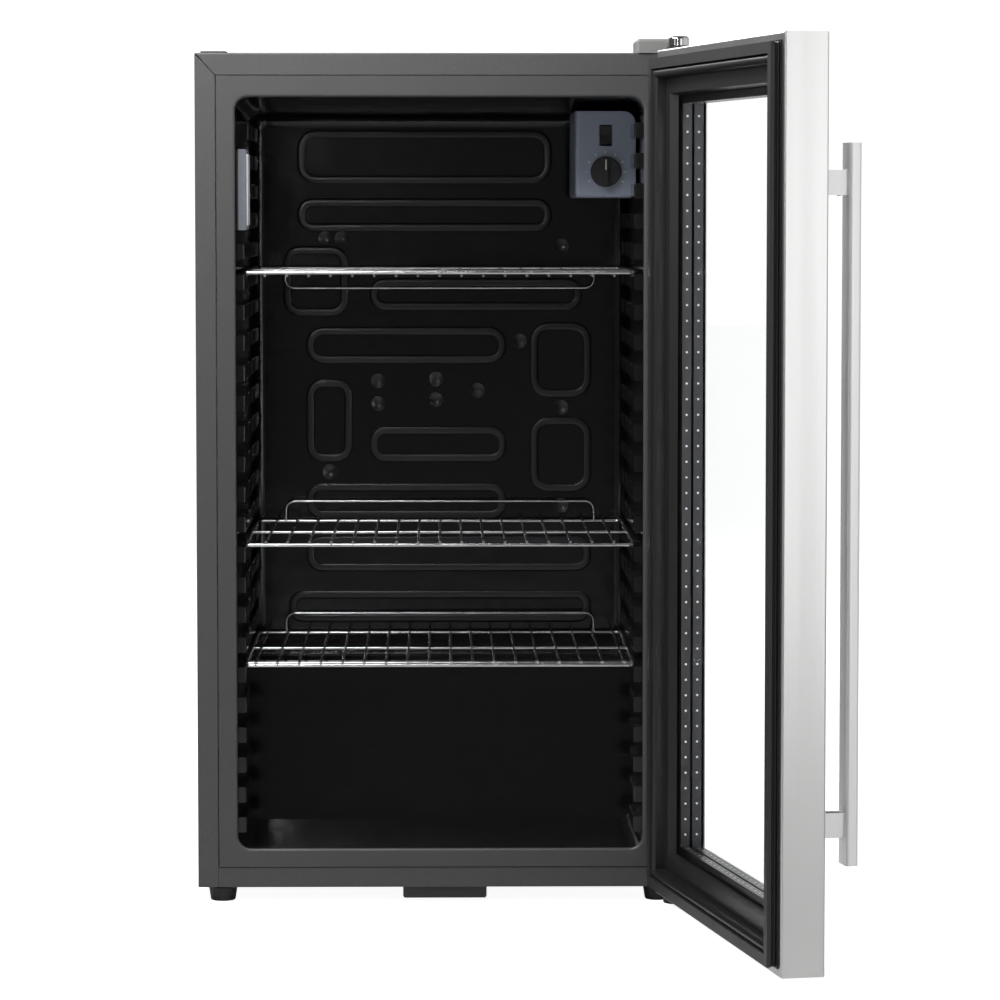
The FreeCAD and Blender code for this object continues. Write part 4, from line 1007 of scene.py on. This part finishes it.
class COOLER_OT_stage(bpy.types.Operator):
    """Add the floor, the soft lights and the camera"""
    bl_idname = "cooler.stage"
    bl_label = "Stage"

    def execute(self, context):
        choice = context.scene.cooler_stage
        start_clear()
        bpy.ops.mesh.primitive_plane_add(size=40.0, location=(0, 0, 0))
        floor = context.object
        floor.name = "stage_floor"
        floor.data.materials.append(plain_floor("stage_floor", tuple(choice.floor_colour)))
        self.light_sky(context, choice.sky_strength)
        for name, place, target, size, share in SOFT_LIGHTS:
            self.soft_light(name, place, target, size, choice.key_power * share)
        self.place_camera(context)
        context.scene.view_settings.view_transform = "Standard"
        return {"FINISHED"}

    def light_sky(self, context, strength):
        """Even light all round, and plain white where the camera sees past the object."""
        world = bpy.data.worlds.new("sky")
        context.scene.world = world
        world.use_nodes = True
        tree = world.node_tree
        background = tree.nodes["Background"]
        background.inputs["Color"].default_value = (1.0, 1.0, 1.0, 1.0)
        connect(tree, background.inputs["Strength"], seen_or(tree, SKY_SEEN, self.side_glow(tree, strength)))

    def side_glow(self, tree, strength):
        """The even light, stronger from the side that the open door faces."""
        direction = add_node(tree, "ShaderNodeTexCoord").outputs["Generated"]
        sideways = add_node(tree, "ShaderNodeSeparateXYZ", {"Vector": direction}).outputs["X"]
        glow = add_node(tree, "ShaderNodeMapRange", {"Value": sideways}, interpolation_type="SMOOTHSTEP")
        for title, value in (
            ("From Min", SIDE_FROM), ("From Max", SIDE_TO), ("To Min", strength), ("To Max", SIDE_GLOW),
        ):
            glow.inputs[title].default_value = value
        return glow.outputs["Result"]

    def soft_light(self, name, place, target, size, power):
        """A rectangular light that points at a spot."""
        start_clear()
        bpy.ops.object.light_add(type="AREA", location=place)
        light = bpy.context.object
        light.name = name
        light.data.shape = "RECTANGLE"
        light.data.size, light.data.size_y = size
        light.data.energy = power
        light.rotation_euler = (Vector(target) - Vector(place)).to_track_quat("-Z", "Y").to_euler()

    def place_camera(self, context):
        start_clear()
        turn = (CAMERA_AIM - CAMERA_PLACE).to_track_quat("-Z", "Y").to_euler()
        bpy.ops.object.camera_add(location=CAMERA_PLACE, rotation=turn)
        camera = context.object
        camera.name = "camera"
        camera.data.lens = CAMERA_LENS
        camera.data.sensor_width = 36.0
        camera.data.dof.use_dof = False
        context.scene.camera = camera


OPERATORS = (
    COOLER_OT_effects, COOLER_OT_finish_cabinet, COOLER_OT_finish_cooling, COOLER_OT_finish_inside,
    COOLER_OT_finish_door, COOLER_OT_wall_channels, COOLER_OT_lamp_ribs, COOLER_OT_dial_marks,
    COOLER_OT_panel_screws, COOLER_OT_spacer_holes, COOLER_OT_stage,
)
SETTINGS = {
    "cooler_cabinet": CoolerCabinetSettings,
    "cooler_inside": CoolerInsideSettings,
    "cooler_door": CoolerDoorSettings,
    "cooler_stage": CoolerStageSettings,
}


class COOLER_PT_panel(bpy.types.Panel):
    """Lists the cooler's settings and the steps that build it"""
    bl_idname = "COOLER_PT_panel"
    bl_label = "Glass Door Cooler"
    bl_space_type = "VIEW_3D"
    bl_region_type = "UI"
    bl_category = "Cooler"

    def draw(self, context):
        layout = self.layout
        for name in SETTINGS:
            group = getattr(context.scene, name)
            box = layout.box()
            for title in group.bl_rna.properties.keys():
                if title not in {"rna_type", "name"}:
                    box.prop(group, title)
        for operator in OPERATORS:
            layout.operator(operator.bl_idname)


def register():
    for settings in SETTINGS.values():
        bpy.utils.register_class(settings)
    for operator in OPERATORS:
        bpy.utils.register_class(operator)
    bpy.utils.register_class(COOLER_PT_panel)
    for name, settings in SETTINGS.items():
        setattr(bpy.types.Scene, name, bpy.props.PointerProperty(type=settings))


def unregister():
    for name in SETTINGS:
        delattr(bpy.types.Scene, name)
    bpy.utils.unregister_class(COOLER_PT_panel)
    for operator in reversed(OPERATORS):
        bpy.utils.unregister_class(operator)
    for settings in reversed(list(SETTINGS.values())):
        bpy.utils.unregister_class(settings)


def main():
    register()
    for operator in OPERATORS:
        group, step = operator.bl_idname.split(".")
        getattr(getattr(bpy.ops, group), step)()


if __name__ == "__main__":
    main()
